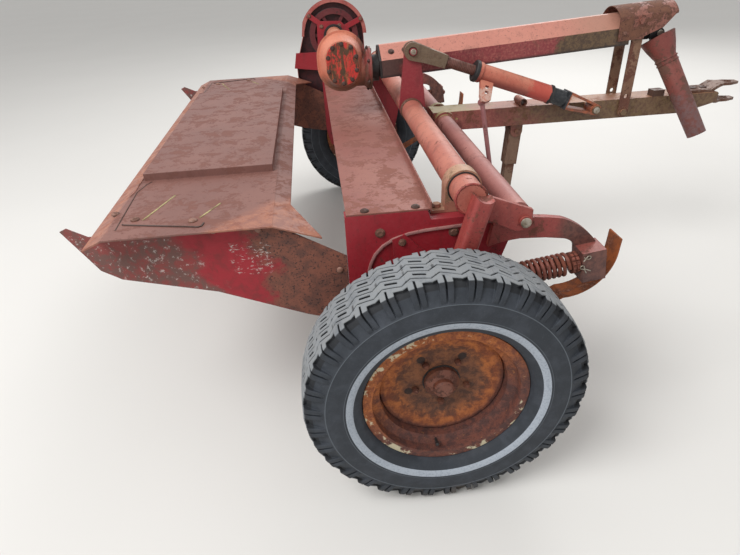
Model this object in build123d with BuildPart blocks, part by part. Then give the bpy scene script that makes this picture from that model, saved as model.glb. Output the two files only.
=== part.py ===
from build123d import *
import os
from math import atan2, cos, degrees, hypot, radians, sin

# Towed hay crimper, millimetres. +X points forward to the hitch, +Y to the machine's left, +Z up.
# Y = 0 is the machine's centre plane and Z = 0 the ground. Places along X are written from the
# wheel axle and places along Z from the ground, unless a name says otherwise.

# Driving dimensions
HITCH_FRONT = 1442.0     # front end of the hitch, ahead of the wheel axle
WING_X = -210.0          # front edge of the side wings
WING_LENGTH = 722.0
WING_TURN = 8.0          # the wings close in to the rear, degrees
AXLE_X = (WING_LENGTH * cos(radians(WING_TURN)) - WING_X - HITCH_FRONT) / 2
WHEEL_Y = 1095.0         # centre plane of a tyre
ARM_GAP = 105.0          # from a wheel arm's outer face to the tyre's centre plane
ARM_T = 45.0
TYRE_R = 355.0
TYRE_HALF = 90.0         # half of the tyre's section width
RIM_SEAT_R = 190.0
RIM_FLANGE_R = 208.0
RIM_HALF = 60.0          # half of the width over the rim's flanges
ARM_OUT = WHEEL_Y - ARM_GAP
ARM_IN = ARM_OUT - ARM_T
AXLE_TUBE_HALF = ARM_IN
PLATE_IN = AXLE_TUBE_HALF - 45.0    # inner face of an end plate
PLATE_T = 5.0
FIT = 0.3                # gap between pieces that are bolted or seated
RUN = 0.05               # running clearance on a radius
SHEET = 4.0

# Cross tubes and what turns on them: (x, z) of each axis
AXLE_TUBE = (94.0, 785.0)
AXLE_TUBE_R = 38.0
DRAW_TUBE = (232.0, 714.0)
DRAW_TUBE_R = 30.0
DRAW_TUBE_HALF = PLATE_IN - 4.0
HINGE_PIN_R = 12.5

# Crimping rolls: (x, z) of each axis
UPPER_ROLL = (-30.0, 582.0)
LOWER_ROLL = (35.0, 396.0)
ROLL_R = 95.0
ROLL_CORE_R = 84.0
ROLL_HALF = PLATE_IN - 20.0
ROLL_SHAFT_HALF = PLATE_IN + 30.0
ROLL_SHAFT_R = 20.0
RIB_COUNT = 16
RIB_WIDTH = 9.0

# Drive: gearbox on the cross shaft, its beam, and the belt down to the upper roll
GEAR = (-130.0, 920.0)
GEAR_RIGHT = 75.0        # near face of the gearbox, to the right of the centre plane
GEAR_LEFT = 65.0
CROSS_R = 40.0
SHEAVE_R = 124.0
ROLL_SHEAVE_R = 92.0
SHEAVE_Y = PLATE_IN + 17.0    # inner face of the sheaves
SHEAVE_W = 22.0
BELT_W = 15.0

BEAM_HALF = 62.0         # driveline beam, half width
BEAM_SIDE = 60.0         # height of its upright sides
BEAM_RIDGE = 45.0        # rise of its roof
BEAM_REAR_X = -4.0
BEAM_FRONT_X = 914.0
BEAM_EAVE = 951.0        # height of the eave at the axle
BEAM_SLOPE = 0.064

# Drawbar and screw jack
BAR_HALF = 50.0
BAR_TOP = 748.0
BAR_BOTTOM = 676.0
BAR_REAR_X = 190.0
BAR_TAPER_X = 1208.0     # from here forward the underside rises
BAR_FRONT_X = 1340.0
BAR_NOSE = 710.0         # underside at the front end
JACK_Y = -104.0
POST_PIN = (99.0, 985.0)
JACK_PIN = (797.0, 738.0)
SCREW_R = 18.0
JACK_R = 32.0
STRAP_X = 950.0
STRAP_TOP = 1030.0
STRAP_FOOT = 700.0
STAND_PIN = (532.0, 648.0)
STAND_LEAN = 3.5
HITCH_X = 1405.0
PTO_PIVOT = (1050.0, 0.0, 978.0)
PTO_END = (1205.0, -172.0, 625.0)


def side(y):
    """Upright plane across the machine: x forward from the axle, y up; it faces right."""
    return Plane(origin=(AXLE_X, y, 0), x_dir=(1, 0, 0), z_dir=(0, -1, 0))


def cross_axis(place):
    """Axis along Y through a place (x, z)."""
    return Axis((AXLE_X + place[0], 0, place[1]), (0, 1, 0))


def spin_plane(place, y):
    """Half plane for revolved pieces: x to the right, y down from the axis."""
    return Plane(origin=(AXLE_X + place[0], y, place[1]), x_dir=(0, -1, 0), z_dir=(1, 0, 0))


AXLE = (0.0, TYRE_R)
right_pieces = {}        # pieces that the left side repeats as mirror images
pieces = {}

# Wheels: tyre, rim with its disc, and hub. Widths are measured outboard from the tyre's centre plane.
RIM_T = 5.0
FLANGE_T = 6.0
BEAD_Y = RIM_HALF - FLANGE_T        # outer face of a bead
BEAD_W = 16.0
BELLY_R = 268.0          # where the tyre is widest
SHOULDER_R = TYRE_R - 17.0
SHOULDER_HALF = TYRE_HALF - 12.0
TREAD_HALF = TYRE_HALF - 24.0
WALL_T = 13.0
TREAD_T = 17.0


def side_wall(inset):
    """Points up one side wall from bead to shoulder, lying `inset` inside the tyre's outer face."""
    lower = [(BEAD_Y - inset + (TYRE_HALF - BEAD_Y) * sin(radians(turn)),
              BELLY_R - (BELLY_R - RIM_FLANGE_R - inset / 2) * cos(radians(turn))) for turn in (0, 30, 60, 90)]
    upper = [(TYRE_HALF - inset - (TYRE_HALF - SHOULDER_HALF) * up * up,
              BELLY_R + (SHOULDER_R - inset - BELLY_R) * up) for up in (0.5, 1.0)]
    return lower + upper


outer_wall = [(BEAD_Y, RIM_SEAT_R + FIT)] + side_wall(0) + [(TREAD_HALF, TYRE_R - 3)]
inner_wall = [(BEAD_Y - BEAD_W, RIM_SEAT_R + FIT)] + side_wall(WALL_T)

with BuildPart() as tyre:
    with BuildSketch(spin_plane(AXLE, -WHEEL_Y)):
        with BuildLine():
            Polyline(*outer_wall, (0, TYRE_R), *[(-y, r) for y, r in reversed(outer_wall)],
                     *[(-y, r) for y, r in inner_wall], (0, TYRE_R - TREAD_T), *reversed(inner_wall),
                     close=True)
        make_face()
    revolve(axis=cross_axis(AXLE))
right_pieces["tyre"] = tyre.part

SEAT_W = 22.0            # width of a bead seat
WELL_R = 168.0           # floor of the drop centre
WELL_RAMP = 10.0         # width of the slope down to it
DISC_T = 6.0
HUB_FACE = -16.0         # wheel disc's mounting face
DISC_CROWN = 5.0         # outermost face of the disc, near its edge
SLOT_R = 151.0           # inner edge of the slots between disc and rim
SLOT_ARC = 38.0          # degrees
HUB_R = 45.0
STUD_CIRCLE_R = 70.0
STUD_R = 6.0
STUD_TURN = 54.0
NUT_R = 9.0
NUT_H = 10.0
HUB_FLANGE_R = 88.0
SPINDLE_R = 19.0
WELL_IN = WELL_R - RIM_T

with BuildPart() as rim:
    with BuildSketch(spin_plane(AXLE, -WHEEL_Y)):
        with BuildLine():
            seat_end = BEAD_Y - SEAT_W
            outside = [(RIM_HALF, RIM_FLANGE_R), (BEAD_Y + FIT, RIM_FLANGE_R), (BEAD_Y + FIT, RIM_SEAT_R),
                       (seat_end, RIM_SEAT_R), (seat_end - WELL_RAMP, WELL_R)]
            inside = [(RIM_HALF, RIM_SEAT_R - RIM_T), (seat_end + 3, RIM_SEAT_R - RIM_T),
                      (seat_end - WELL_RAMP + 3, WELL_IN)]
            Polyline(*outside, *[(-y, r) for y, r in reversed(outside)], *[(-y, r) for y, r in inside],
                     *reversed(inside), close=True)
        make_face()
    revolve(axis=cross_axis(AXLE))
    with BuildSketch(spin_plane(AXLE, -WHEEL_Y)):
        with BuildLine():
            nut_face = HUB_FACE + DISC_T
            Polyline((DISC_CROWN - 36, WELL_IN + 0.5), (DISC_CROWN - 10, WELL_IN + 0.5),
                     (DISC_CROWN - 2, WELL_IN - 4), (DISC_CROWN, WELL_IN - 14), (DISC_CROWN - 4, WELL_IN - 36),
                     (nut_face + 4, HUB_FLANGE_R + 20), (nut_face, HUB_FLANGE_R + 10), (nut_face, HUB_R + 1),
                     (HUB_FACE, HUB_R + 1), (HUB_FACE, HUB_FLANGE_R + 12), (HUB_FACE + 5, HUB_FLANGE_R + 23),
                     (DISC_CROWN - 10, WELL_IN - 34), (DISC_CROWN - 6, WELL_IN - 14),
                     (DISC_CROWN - 12, WELL_IN - 5.5), (DISC_CROWN - 36, WELL_IN - 5.5), close=True)
        make_face()
    revolve(axis=cross_axis(AXLE))
    with BuildSketch(side(-WHEEL_Y - DISC_CROWN - 1)):
        with Locations((0, TYRE_R)):
            with PolarLocations(0, 4):
                with BuildLine():
                    for radius in (SLOT_R, WELL_IN + 0.25):
                        CenterArc((0, 0), radius, -SLOT_ARC / 2, SLOT_ARC)
                    for turn in (-SLOT_ARC / 2, SLOT_ARC / 2):
                        Line((SLOT_R * cos(radians(turn)), SLOT_R * sin(radians(turn))),
                             ((WELL_IN + 0.25) * cos(radians(turn)), (WELL_IN + 0.25) * sin(radians(turn))))
                make_face()
    extrude(amount=-44, mode=Mode.SUBTRACT)
    with BuildSketch(side(-WHEEL_Y - HUB_FACE + 1)):
        with Locations((0, TYRE_R)):
            with PolarLocations(STUD_CIRCLE_R, 5, start_angle=STUD_TURN):
                Circle(STUD_R + FIT)
    extrude(amount=DISC_T + 2, mode=Mode.SUBTRACT)
right_pieces["wheel_rim"] = rim.part

HUB_BACK = -52.0         # inboard end of the hub
HUB_NOSE = 4.0           # end of its full barrel
CAP_END = 32.0
CAP_R = 26.0
BORE_END = 8.0

with BuildPart() as hub:
    with BuildSketch(spin_plane(AXLE, -WHEEL_Y)):
        with BuildLine():
            Polyline((HUB_BACK, SPINDLE_R + RUN), (HUB_BACK, HUB_R - 3), (HUB_FACE - 12, HUB_R - 3),
                     (HUB_FACE - 12, HUB_FLANGE_R), (HUB_FACE - FIT, HUB_FLANGE_R), (HUB_FACE - FIT, HUB_R),
                     (HUB_NOSE, HUB_R), (HUB_NOSE + 9, CAP_R + 6), (HUB_NOSE + 12, CAP_R), (CAP_END - 5, CAP_R),
                     (CAP_END, CAP_R - 6), (CAP_END, 0), (BORE_END, 0), (BORE_END, SPINDLE_R + RUN), close=True)
        make_face()
    revolve(axis=cross_axis(AXLE))
    with BuildSketch(side(-WHEEL_Y - HUB_FACE - DISC_T - FIT)):
        with Locations((0, TYRE_R)):
            with PolarLocations(STUD_CIRCLE_R, 5, start_angle=STUD_TURN):
                RegularPolygon(NUT_R, 6)
    extrude(amount=NUT_H)
    with BuildSketch(side(-WHEEL_Y - HUB_FACE + 1)):
        with Locations((0, TYRE_R)):
            with PolarLocations(STUD_CIRCLE_R, 5, start_angle=STUD_TURN):
                Circle(STUD_R)
    extrude(amount=DISC_T + FIT + NUT_H + 4)
right_pieces["wheel_hub"] = hub.part

# Axle tube, the arms and spindles that carry the wheels, and the hinge bars
ARM_TOP = (118.0, 800.0)
ARM_W = 46.0
BAR_T = 14.0             # thickness of a hinge bar
arm_dir = Vector(ARM_TOP[0], ARM_TOP[1] - TYRE_R).normalized()
arm_across = Vector(arm_dir.Y, -arm_dir.X)
arm_foot = Vector(0, TYRE_R)
arm_top = Vector(*ARM_TOP)

with BuildPart() as wheel_arm:
    with BuildSketch(side(-ARM_IN)):
        with BuildLine():
            Line(arm_foot - arm_across * ARM_W / 2, arm_top - arm_across * ARM_W / 2)
            ThreePointArc(arm_top - arm_across * ARM_W / 2, arm_top - arm_dir * 9,
                          arm_top + arm_across * ARM_W / 2)
            Line(arm_top + arm_across * ARM_W / 2, arm_foot + arm_across * ARM_W / 2)
            ThreePointArc(arm_foot + arm_across * ARM_W / 2, arm_foot - arm_dir * ARM_W / 2,
                          arm_foot - arm_across * ARM_W / 2)
        make_face()
    extrude(amount=ARM_OUT - ARM_IN)
    fillet(wheel_arm.faces().sort_by(Axis.Y)[0].edges().filter_by(GeomType.LINE), 12)
    with BuildSketch(side(-ARM_OUT)):
        with Locations((0, TYRE_R)):
            Circle(SPINDLE_R)
    extrude(amount=WHEEL_Y + BORE_END - 4 - ARM_OUT)
    with BuildSketch(side(-ARM_OUT)):
        with Locations((0, TYRE_R)):
            Circle(SPINDLE_R + 8)
    extrude(amount=WHEEL_Y + HUB_BACK - FIT - ARM_OUT)
right_pieces["wheel_arm"] = wheel_arm.part

with BuildPart() as axle_tube:
    with BuildSketch(side(AXLE_TUBE_HALF - FIT)):
        with Locations(AXLE_TUBE):
            Circle(AXLE_TUBE_R)
    extrude(amount=2 * (AXLE_TUBE_HALF - FIT))
pieces["axle_tube"] = axle_tube.part

with BuildPart() as hinge_bar:
    with BuildSketch(side(-AXLE_TUBE_HALF + BAR_T)):
        with BuildLine():
            Polyline((118, 766), (138, 788), (250, 744), (250, 712), (240, 692), (212, 688), (134, 728),
                     close=True)
        make_face()
    extrude(amount=BAR_T - FIT)
    with BuildSketch(side(-DRAW_TUBE_HALF + 60)):
        with Locations(DRAW_TUBE):
            Circle(HINGE_PIN_R)
    extrude(amount=AXLE_TUBE_HALF + 4 - (DRAW_TUBE_HALF - 60))
    with BuildSketch(side(-AXLE_TUBE_HALF + FIT)):
        with Locations(DRAW_TUBE):
            Circle(HINGE_PIN_R + 3)
    extrude(amount=8)
    with BuildSketch(side(-AXLE_TUBE_HALF + BAR_T)):
        with Locations(AXLE_TUBE):
            Circle(AXLE_TUBE_R + FIT)
    extrude(amount=BAR_T, mode=Mode.SUBTRACT)
right_pieces["hinge_bar"] = hinge_bar.part

CLAMP_Y = PLATE_IN - 50.0
CLAMP_W = 44.0
CLAMP_T = 8.0
FLANGE_Z = 722.0         # top of the rail flange under the axle tube

with BuildPart() as tube_clamp:
    with BuildSketch(side(-CLAMP_Y + CLAMP_W / 2)):
        with Locations(AXLE_TUBE):
            Circle(AXLE_TUBE_R + FIT + CLAMP_T)
        with Locations((AXLE_TUBE[0], (AXLE_TUBE[1] + FLANGE_Z) / 2)):
            Rectangle(2 * (AXLE_TUBE_R + FIT + CLAMP_T), AXLE_TUBE[1] - FLANGE_Z)
        with Locations((AXLE_TUBE[0], FLANGE_Z + CLAMP_T / 2)):
            Rectangle(2 * (AXLE_TUBE_R + 44), CLAMP_T)
        with Locations(AXLE_TUBE):
            Circle(AXLE_TUBE_R + FIT, mode=Mode.SUBTRACT)
    extrude(amount=CLAMP_W)
    with BuildSketch(Plane.XY.offset(FLANGE_Z + CLAMP_T - 1)):
        for x in (AXLE_TUBE[0] - 64, AXLE_TUBE[0] + 64):
            with Locations((AXLE_X + x, -CLAMP_Y)):
                RegularPolygon(11, 6)
    extrude(amount=11)
right_pieces["tube_clamp"] = tube_clamp.part

# End plates with their rails, roll bearings and spring gear
END_OUTLINE = [(-209, 748), (-3, 748), (6, FLANGE_Z - FIT), (190, FLANGE_Z - FIT), (214, 690), (212, 650),
               (196, 600), (196, 520), (170, 400), (110, 300), (60, 284), (-90, 284), (-190, 360), (-209, 440)]

with BuildPart() as end_plate:
    with BuildSketch(side(-PLATE_IN)):
        with BuildLine():
            Polyline(*END_OUTLINE, close=True)
        make_face()
        with Locations(UPPER_ROLL, LOWER_ROLL):
            Circle(ROLL_SHAFT_R + 6, mode=Mode.SUBTRACT)
    extrude(amount=PLATE_T)
    with BuildSketch(side(-PLATE_IN + 75)):
        with BuildLine():
            Polyline((6, FLANGE_Z - FIT), (190, FLANGE_Z - FIT), (190, FLANGE_Z - 7), (6, FLANGE_Z - 7),
                     close=True)
        make_face()
    extrude(amount=76)
    with BuildSketch(side(-PLATE_IN + 30)):
        with BuildLine():
            Polyline((-209, 748), (-3, 748), (-3, 743), (-209, 743), close=True)
        make_face()
    extrude(amount=31)
    with BuildSketch(side(-PLATE_IN - PLATE_T + 1)):
        with Locations(LOWER_ROLL):
            Circle(48)
            Circle(ROLL_SHAFT_R + RUN, mode=Mode.SUBTRACT)
    extrude(amount=7)
right_pieces["end_plate"] = end_plate.part

SPRING_Y = PLATE_IN + 38.0
SPRING_R = 32.0
SPRING_WIRE_R = 5.0
SPRING_COILS = 12
ROD_R = 8.0
BLOCK = (420.0, 584.0)   # where the rod passes the trunnion block
ROD_TILT = 8.0           # the rod falls to the rear, degrees
BLOCK_W = 62.0
BLOCK_H = 88.0
BLOCK_DROP = 4.0         # the block's middle lies below the rod
LUG = (96.0, BLOCK[1] - (BLOCK[0] - 96.0) * sin(radians(ROD_TILT)) / cos(radians(ROD_TILT)))

with BuildPart() as roll_bearing:
    with BuildSketch(side(-PLATE_IN - PLATE_T - FIT)):
        with BuildLine():
            Polyline((-94, 678), (-62, 690), (26, 600), (LUG[0] + 16, LUG[1] + 18), (LUG[0] + 16, LUG[1] - 18),
                     (0, 532), (-66, 532), (-86, 580), close=True)
        make_face()
        with Locations(UPPER_ROLL):
            Circle(ROLL_SHAFT_R + RUN, mode=Mode.SUBTRACT)
    extrude(amount=6)
    with BuildSketch(side(-PLATE_IN - PLATE_T - FIT)):
        with Locations(LUG):
            Circle(14)
    extrude(amount=44)
right_pieces["roll_bearing"] = roll_bearing.part

rod_plane = Plane(origin=(AXLE_X + BLOCK[0], -SPRING_Y, BLOCK[1]),
                  x_dir=(-cos(radians(ROD_TILT)), 0, -sin(radians(ROD_TILT))), z_dir=(0, -1, 0))
ROD_BACK = (BLOCK[0] - LUG[0]) / cos(radians(ROD_TILT)) - 14 - FIT
SPRING_FRONT = 56.0      # first coil, behind the middle of the block
SPRING_PITCH = 13.4

block_face = BLOCK_W / 2 + FIT

SPRING_CORE_R = SPRING_R - 2 * SPRING_WIRE_R
COLLAR_R = 30.0
spring_end = SPRING_FRONT + SPRING_COILS * SPRING_PITCH

coil_points = []
for coil in range(SPRING_COILS):
    middle = SPRING_FRONT + (coil + 0.5) * SPRING_PITCH
    coil_points += [(middle - SPRING_WIRE_R, SPRING_CORE_R), (middle - SPRING_WIRE_R, SPRING_R - 3),
                    (middle - 2, SPRING_R), (middle + 2, SPRING_R), (middle + SPRING_WIRE_R, SPRING_R - 3),
                    (middle + SPRING_WIRE_R, SPRING_CORE_R)]

with BuildPart() as roll_spring:
    with BuildSketch(rod_plane):
        with BuildLine():
            Polyline((-46, 0), (-46, ROD_R), (-42, ROD_R), (-42, 14), (-block_face, 14), (-block_face, ROD_R),
                     (block_face, ROD_R), (block_face, COLLAR_R - 2), (SPRING_FRONT - 2, COLLAR_R - 2),
                     (SPRING_FRONT - 2, SPRING_CORE_R), *coil_points, (spring_end, SPRING_CORE_R),
                     (spring_end, COLLAR_R), (spring_end + 10, COLLAR_R), (spring_end + 10, ROD_R),
                     (ROD_BACK, ROD_R), (ROD_BACK, 0), close=True)
        make_face()
    revolve(axis=Axis(rod_plane.origin, rod_plane.x_dir))
right_pieces["roll_spring"] = roll_spring.part

with BuildPart() as gooseneck:
    with BuildSketch(side(-PLATE_IN - PLATE_T - FIT)):
        with BuildLine():
            Polyline((150, 640), (196, 652), (233, 656), (300, 652), (346, 645))
            ThreePointArc((346, 645), (368, 636), (384, 617))
            Line((384, 617), (446, 617))
            ThreePointArc((446, 617), (404, 664), (338, 702))
            Polyline((338, 702), (298, 709), (257, 713), (160, 700), (150, 640))
        make_face()
        with Locations(DRAW_TUBE):
            Circle(HINGE_PIN_R + 14)
            Circle(HINGE_PIN_R + RUN, mode=Mode.SUBTRACT)
    extrude(amount=18)
    with BuildSketch(side(-SPRING_Y + 33)):
        with Locations((BLOCK[0] + BLOCK_DROP * sin(radians(ROD_TILT)),
                        BLOCK[1] - BLOCK_DROP * cos(radians(ROD_TILT)))):
            Rectangle(BLOCK_W, BLOCK_H, rotation=ROD_TILT)
    extrude(amount=66)
    with BuildSketch(Plane(origin=rod_plane.origin, z_dir=rod_plane.x_dir)):
        Circle(ROD_R + RUN)
    extrude(amount=80, both=True, mode=Mode.SUBTRACT)
right_pieces["gooseneck"] = gooseneck.part

SKID_OUT = PLATE_IN - 20.0
SKID_IN = SKID_OUT - 65.0
with BuildPart() as skid_shoe:
    with BuildSketch(side(-SKID_IN)):
        with BuildLine():
            Polyline((0, 278), (130, 278), (400, 424))
            ThreePointArc((400, 424), (500, 468), (538, 560))
            Polyline((538, 560), (540, 600), (535, 600), (533, 560))
            ThreePointArc((533, 560), (496, 472), (398, 430))
            Polyline((398, 430), (128, 284), (0, 284), (0, 278))
        make_face()
    extrude(amount=SKID_OUT - SKID_IN)
    with BuildSketch(side(-SKID_OUT + 1)):
        with Locations((75, 281)):
            Rectangle(110, 6)
    extrude(amount=PLATE_IN + PLATE_T - SKID_OUT)
    with BuildSketch(side(-PLATE_IN + 6)):
        with Locations((75, 300)):
            Rectangle(100, 32)
    extrude(amount=6 - FIT)
right_pieces["skid_shoe"] = skid_shoe.part

# Sheet metal: side wings, covers and the rail under them
DECK_Z = 740.0
DECK_HALF = PLATE_IN + 3.0
DECK_REAR = -792.0
DECK_BEND = -385.0
DECK_NOSE = (-268.0, 694.0)
PAN_RISE = 22.0
PAN_HALF = 520.0
nose_half = DECK_HALF - 157.0
WING_TAIL = [(147, DECK_Z - SHEET - FIT), (124, 711), (67, 711), (18, 736), (0, 728), (72, 612),
             (122, 584)]                    # (from the rear end, z)
wing_plane = Plane(origin=(AXLE_X + WING_X, -PLATE_IN - PLATE_T, 0),
                   x_dir=(cos(radians(WING_TURN)), -sin(radians(WING_TURN)), 0),
                   z_dir=(-sin(radians(WING_TURN)), -cos(radians(WING_TURN)), 0))

with BuildPart() as side_wing:
    with BuildSketch(wing_plane):
        with BuildLine():
            Polyline((0, 640), (-52, 668), (-180, DECK_Z - SHEET - FIT),
                     *[(along - WING_LENGTH, z) for along, z in WING_TAIL], (-350, 540), (-118, 462), (0, 434),
                     close=True)
        make_face()
    extrude(amount=-SHEET)
right_pieces["side_wing"] = side_wing.part

with BuildPart() as rear_deck:
    with BuildSketch(Plane.XY.offset(DECK_Z - SHEET)):
        with BuildLine():
            Polyline((AXLE_X + DECK_REAR, -DECK_HALF), (AXLE_X + DECK_BEND, -DECK_HALF),
                     (AXLE_X + DECK_BEND, DECK_HALF), (AXLE_X + DECK_REAR, DECK_HALF), close=True)
        make_face()
    extrude(amount=SHEET)
    with BuildSketch(side(DECK_HALF)):
        with BuildLine():
            Polyline((DECK_BEND - 1, DECK_Z - SHEET), (DECK_BEND - 1, DECK_Z),
                     (DECK_NOSE[0], DECK_NOSE[1] + SHEET), DECK_NOSE, close=True)
        make_face()
        with BuildLine():
            Polyline((DECK_REAR + 1, DECK_Z), (DECK_REAR + 1, DECK_Z - SHEET), (DECK_REAR - 50, 714),
                     (DECK_REAR - 50, 718), close=True)
        make_face()
    extrude(amount=2 * DECK_HALF)
    with BuildSketch(Plane.XY.offset(DECK_NOSE[1] - 20)):
        with BuildLine():
            Polyline((AXLE_X - 345, -nose_half), (AXLE_X - 265, -DECK_HALF - 2), (AXLE_X - 240, -DECK_HALF - 2),
                     (AXLE_X - 240, DECK_HALF + 2), (AXLE_X - 265, DECK_HALF + 2), (AXLE_X - 345, nose_half),
                     close=True)
        make_face()
    extrude(amount=80, mode=Mode.SUBTRACT)
    with BuildSketch(Plane.XY.offset(DECK_Z - SHEET)):
        with Locations((AXLE_X - 590, 0)):
            Rectangle(380, 2 * PAN_HALF)
    extrude(amount=SHEET + PAN_RISE)
    with BuildSketch(Plane.XY.offset(DECK_Z - SHEET)):
        with Locations((AXLE_X - 590, 0)):
            Rectangle(380 - 2 * SHEET, 2 * (PAN_HALF - SHEET))
    extrude(amount=PAN_RISE, mode=Mode.SUBTRACT)
pieces["rear_deck"] = rear_deck.part

COVER_Z = 748.0 + FIT
with BuildPart() as front_cover:
    with BuildSketch(side(PLATE_IN + 4)):
        with Locations((-100.5, COVER_Z + SHEET / 2)):
            Rectangle(209, SHEET)
        with Locations((6, COVER_Z + 8)):
            Rectangle(SHEET, 24)
    extrude(amount=2 * (PLATE_IN + 4))
pieces["front_cover"] = front_cover.part

with BuildPart() as cross_rail:
    with BuildSketch(side(PLATE_IN - FIT)):
        with BuildLine():
            Polyline((-200, 742), (-160, 742), (-160, 736), (-194, 736), (-194, 702), (-160, 702),
                     (-160, 696), (-200, 696), close=True)
        make_face()
    extrude(amount=2 * (PLATE_IN - FIT))
pieces["cross_rail"] = cross_rail.part

# Rolls, with straight ribs along their length
for name, axis_place in (("upper_roll", UPPER_ROLL), ("lower_roll", LOWER_ROLL)):
    with BuildPart() as roll:
        with BuildSketch(side(ROLL_HALF)):
            with Locations(axis_place):
                Circle(ROLL_CORE_R)
                with PolarLocations((ROLL_R + ROLL_CORE_R) / 2 - 1, RIB_COUNT):
                    Rectangle(ROLL_R - ROLL_CORE_R + 2, RIB_WIDTH)
        extrude(amount=2 * ROLL_HALF)
        with BuildSketch(side(ROLL_SHAFT_HALF)):
            with Locations(axis_place):
                Circle(ROLL_SHAFT_R)
        extrude(amount=2 * ROLL_SHAFT_HALF)
        if name == "upper_roll":
            with BuildSketch(side(SHEAVE_Y + SHEAVE_W)):
                with Locations(axis_place):
                    Circle(ROLL_SHEAVE_R)
            extrude(amount=SHEAVE_W)
            with BuildSketch(spin_plane(axis_place, 0)):
                with Locations((-SHEAVE_Y - SHEAVE_W / 2, ROLL_SHEAVE_R)):
                    Rectangle(BELT_W + 1, 24)
            revolve(axis=cross_axis(axis_place), mode=Mode.SUBTRACT)
    pieces[name] = roll.part

# Belt drive on the left end
with BuildPart() as drive_sheave:
    with BuildSketch(spin_plane(GEAR, 0)):
        with BuildLine():
            Polyline((-SHEAVE_Y, 96), (-SHEAVE_Y, SHEAVE_R), (-SHEAVE_Y - 3, SHEAVE_R),
                     (-SHEAVE_Y - 3, SHEAVE_R - 12),
                     (-SHEAVE_Y - SHEAVE_W + 3, SHEAVE_R - 12), (-SHEAVE_Y - SHEAVE_W + 3, SHEAVE_R),
                     (-SHEAVE_Y - SHEAVE_W, SHEAVE_R), (-SHEAVE_Y - SHEAVE_W, 96), close=True)
        make_face()
    revolve(axis=cross_axis(GEAR))
    with BuildSketch(side(SHEAVE_Y + 17)):
        with Locations(GEAR):
            Circle(34)
            with PolarLocations(66, 6):
                Rectangle(68, 16)
    extrude(amount=12)
    with BuildSketch(side(SHEAVE_Y + SHEAVE_W)):
        with Locations(GEAR):
            Circle(30)
    extrude(amount=SHEAVE_W)
    with BuildSketch(side(SHEAVE_Y + 4)):
        with Locations(GEAR):
            Circle(17)
    extrude(amount=70)
pieces["drive_sheave"] = drive_sheave.part

belt_run = hypot(GEAR[0] - UPPER_ROLL[0], GEAR[1] - UPPER_ROLL[1])
belt_turn = degrees(atan2(UPPER_ROLL[1] - GEAR[1], UPPER_ROLL[0] - GEAR[0]))
belt_flare = degrees(atan2(SHEAVE_R - ROLL_SHEAVE_R, belt_run))
with BuildPart() as drive_belt:
    belt_plane = Plane(origin=(AXLE_X + GEAR[0], SHEAVE_Y + (SHEAVE_W + BELT_W) / 2, GEAR[1]),
                       x_dir=(cos(radians(belt_turn)), 0, sin(radians(belt_turn))), z_dir=(0, -1, 0))
    for grow, mode in ((1.0, Mode.ADD), (-8.0, Mode.SUBTRACT)):
        with BuildSketch(belt_plane):
            top = SHEAVE_R + grow
            low = ROLL_SHEAVE_R + grow
            lean = radians(90 - belt_flare)
            Circle(top)
            with Locations((belt_run, 0)):
                Circle(low)
            with BuildLine():
                Polyline((top * cos(lean), top * sin(lean)), (belt_run + low * cos(lean), low * sin(lean)),
                         (belt_run + low * cos(lean), -low * sin(lean)), (top * cos(lean), -top * sin(lean)),
                         close=True)
            make_face()
        extrude(amount=BELT_W, mode=mode)
pieces["drive_belt"] = drive_belt.part

GUARD_OUT = PLATE_IN + 43.5
GUARD_IN = PLATE_IN + 13.0
GUARD_TOP_R = 152.0
GUARD_LIP = 16.0         # width of the rim that stands out round the guard's head
with BuildPart() as belt_guard:
    for shrink, mode, start, depth in ((0.0, Mode.ADD, GUARD_OUT, GUARD_OUT - GUARD_IN),
                                       (2.5, Mode.SUBTRACT, GUARD_OUT - 2.5, GUARD_OUT)):
        with BuildSketch(side(start)):
            with BuildLine():
                reach = GUARD_TOP_R - shrink
                left = (GEAR[0] - reach * cos(radians(23)), GEAR[1] + reach * sin(radians(23)))
                right = (GEAR[0] + reach, GEAR[1] + 4)
                ThreePointArc(left, (GEAR[0], GEAR[1] + reach), right)
                Polyline(right, (GEAR[0] + reach + 4, 800), (86 - shrink, 560), (60 - shrink, 490 + shrink),
                         (-20, 462 + shrink), (-150 + shrink, 480 + shrink), (-335 + shrink, 720 + shrink),
                         (-335 + shrink, 780), left)
            make_face()
        extrude(amount=depth, mode=mode)
    with BuildSketch(side(GUARD_IN + 2.5)):
        with BuildLine():
            lip_r = GUARD_TOP_R + GUARD_LIP
            left = (GEAR[0] - lip_r * cos(radians(23)), GEAR[1] + lip_r * sin(radians(23)))
            right = (GEAR[0] + lip_r, GEAR[1])
            Polyline(left, (GEAR[0] - lip_r, GEAR[1] - 20), (GEAR[0] + lip_r, GEAR[1] - 20), right)
            ThreePointArc(right, (GEAR[0], GEAR[1] + lip_r), left)
        make_face()
        with Locations(GEAR):
            Circle(GUARD_TOP_R - 1, mode=Mode.SUBTRACT)
        with Locations((GEAR[0], GEAR[1] - 80)):
            Rectangle(600, 160, mode=Mode.SUBTRACT)
    extrude(amount=2.5)
pieces["belt_guard"] = belt_guard.part

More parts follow.
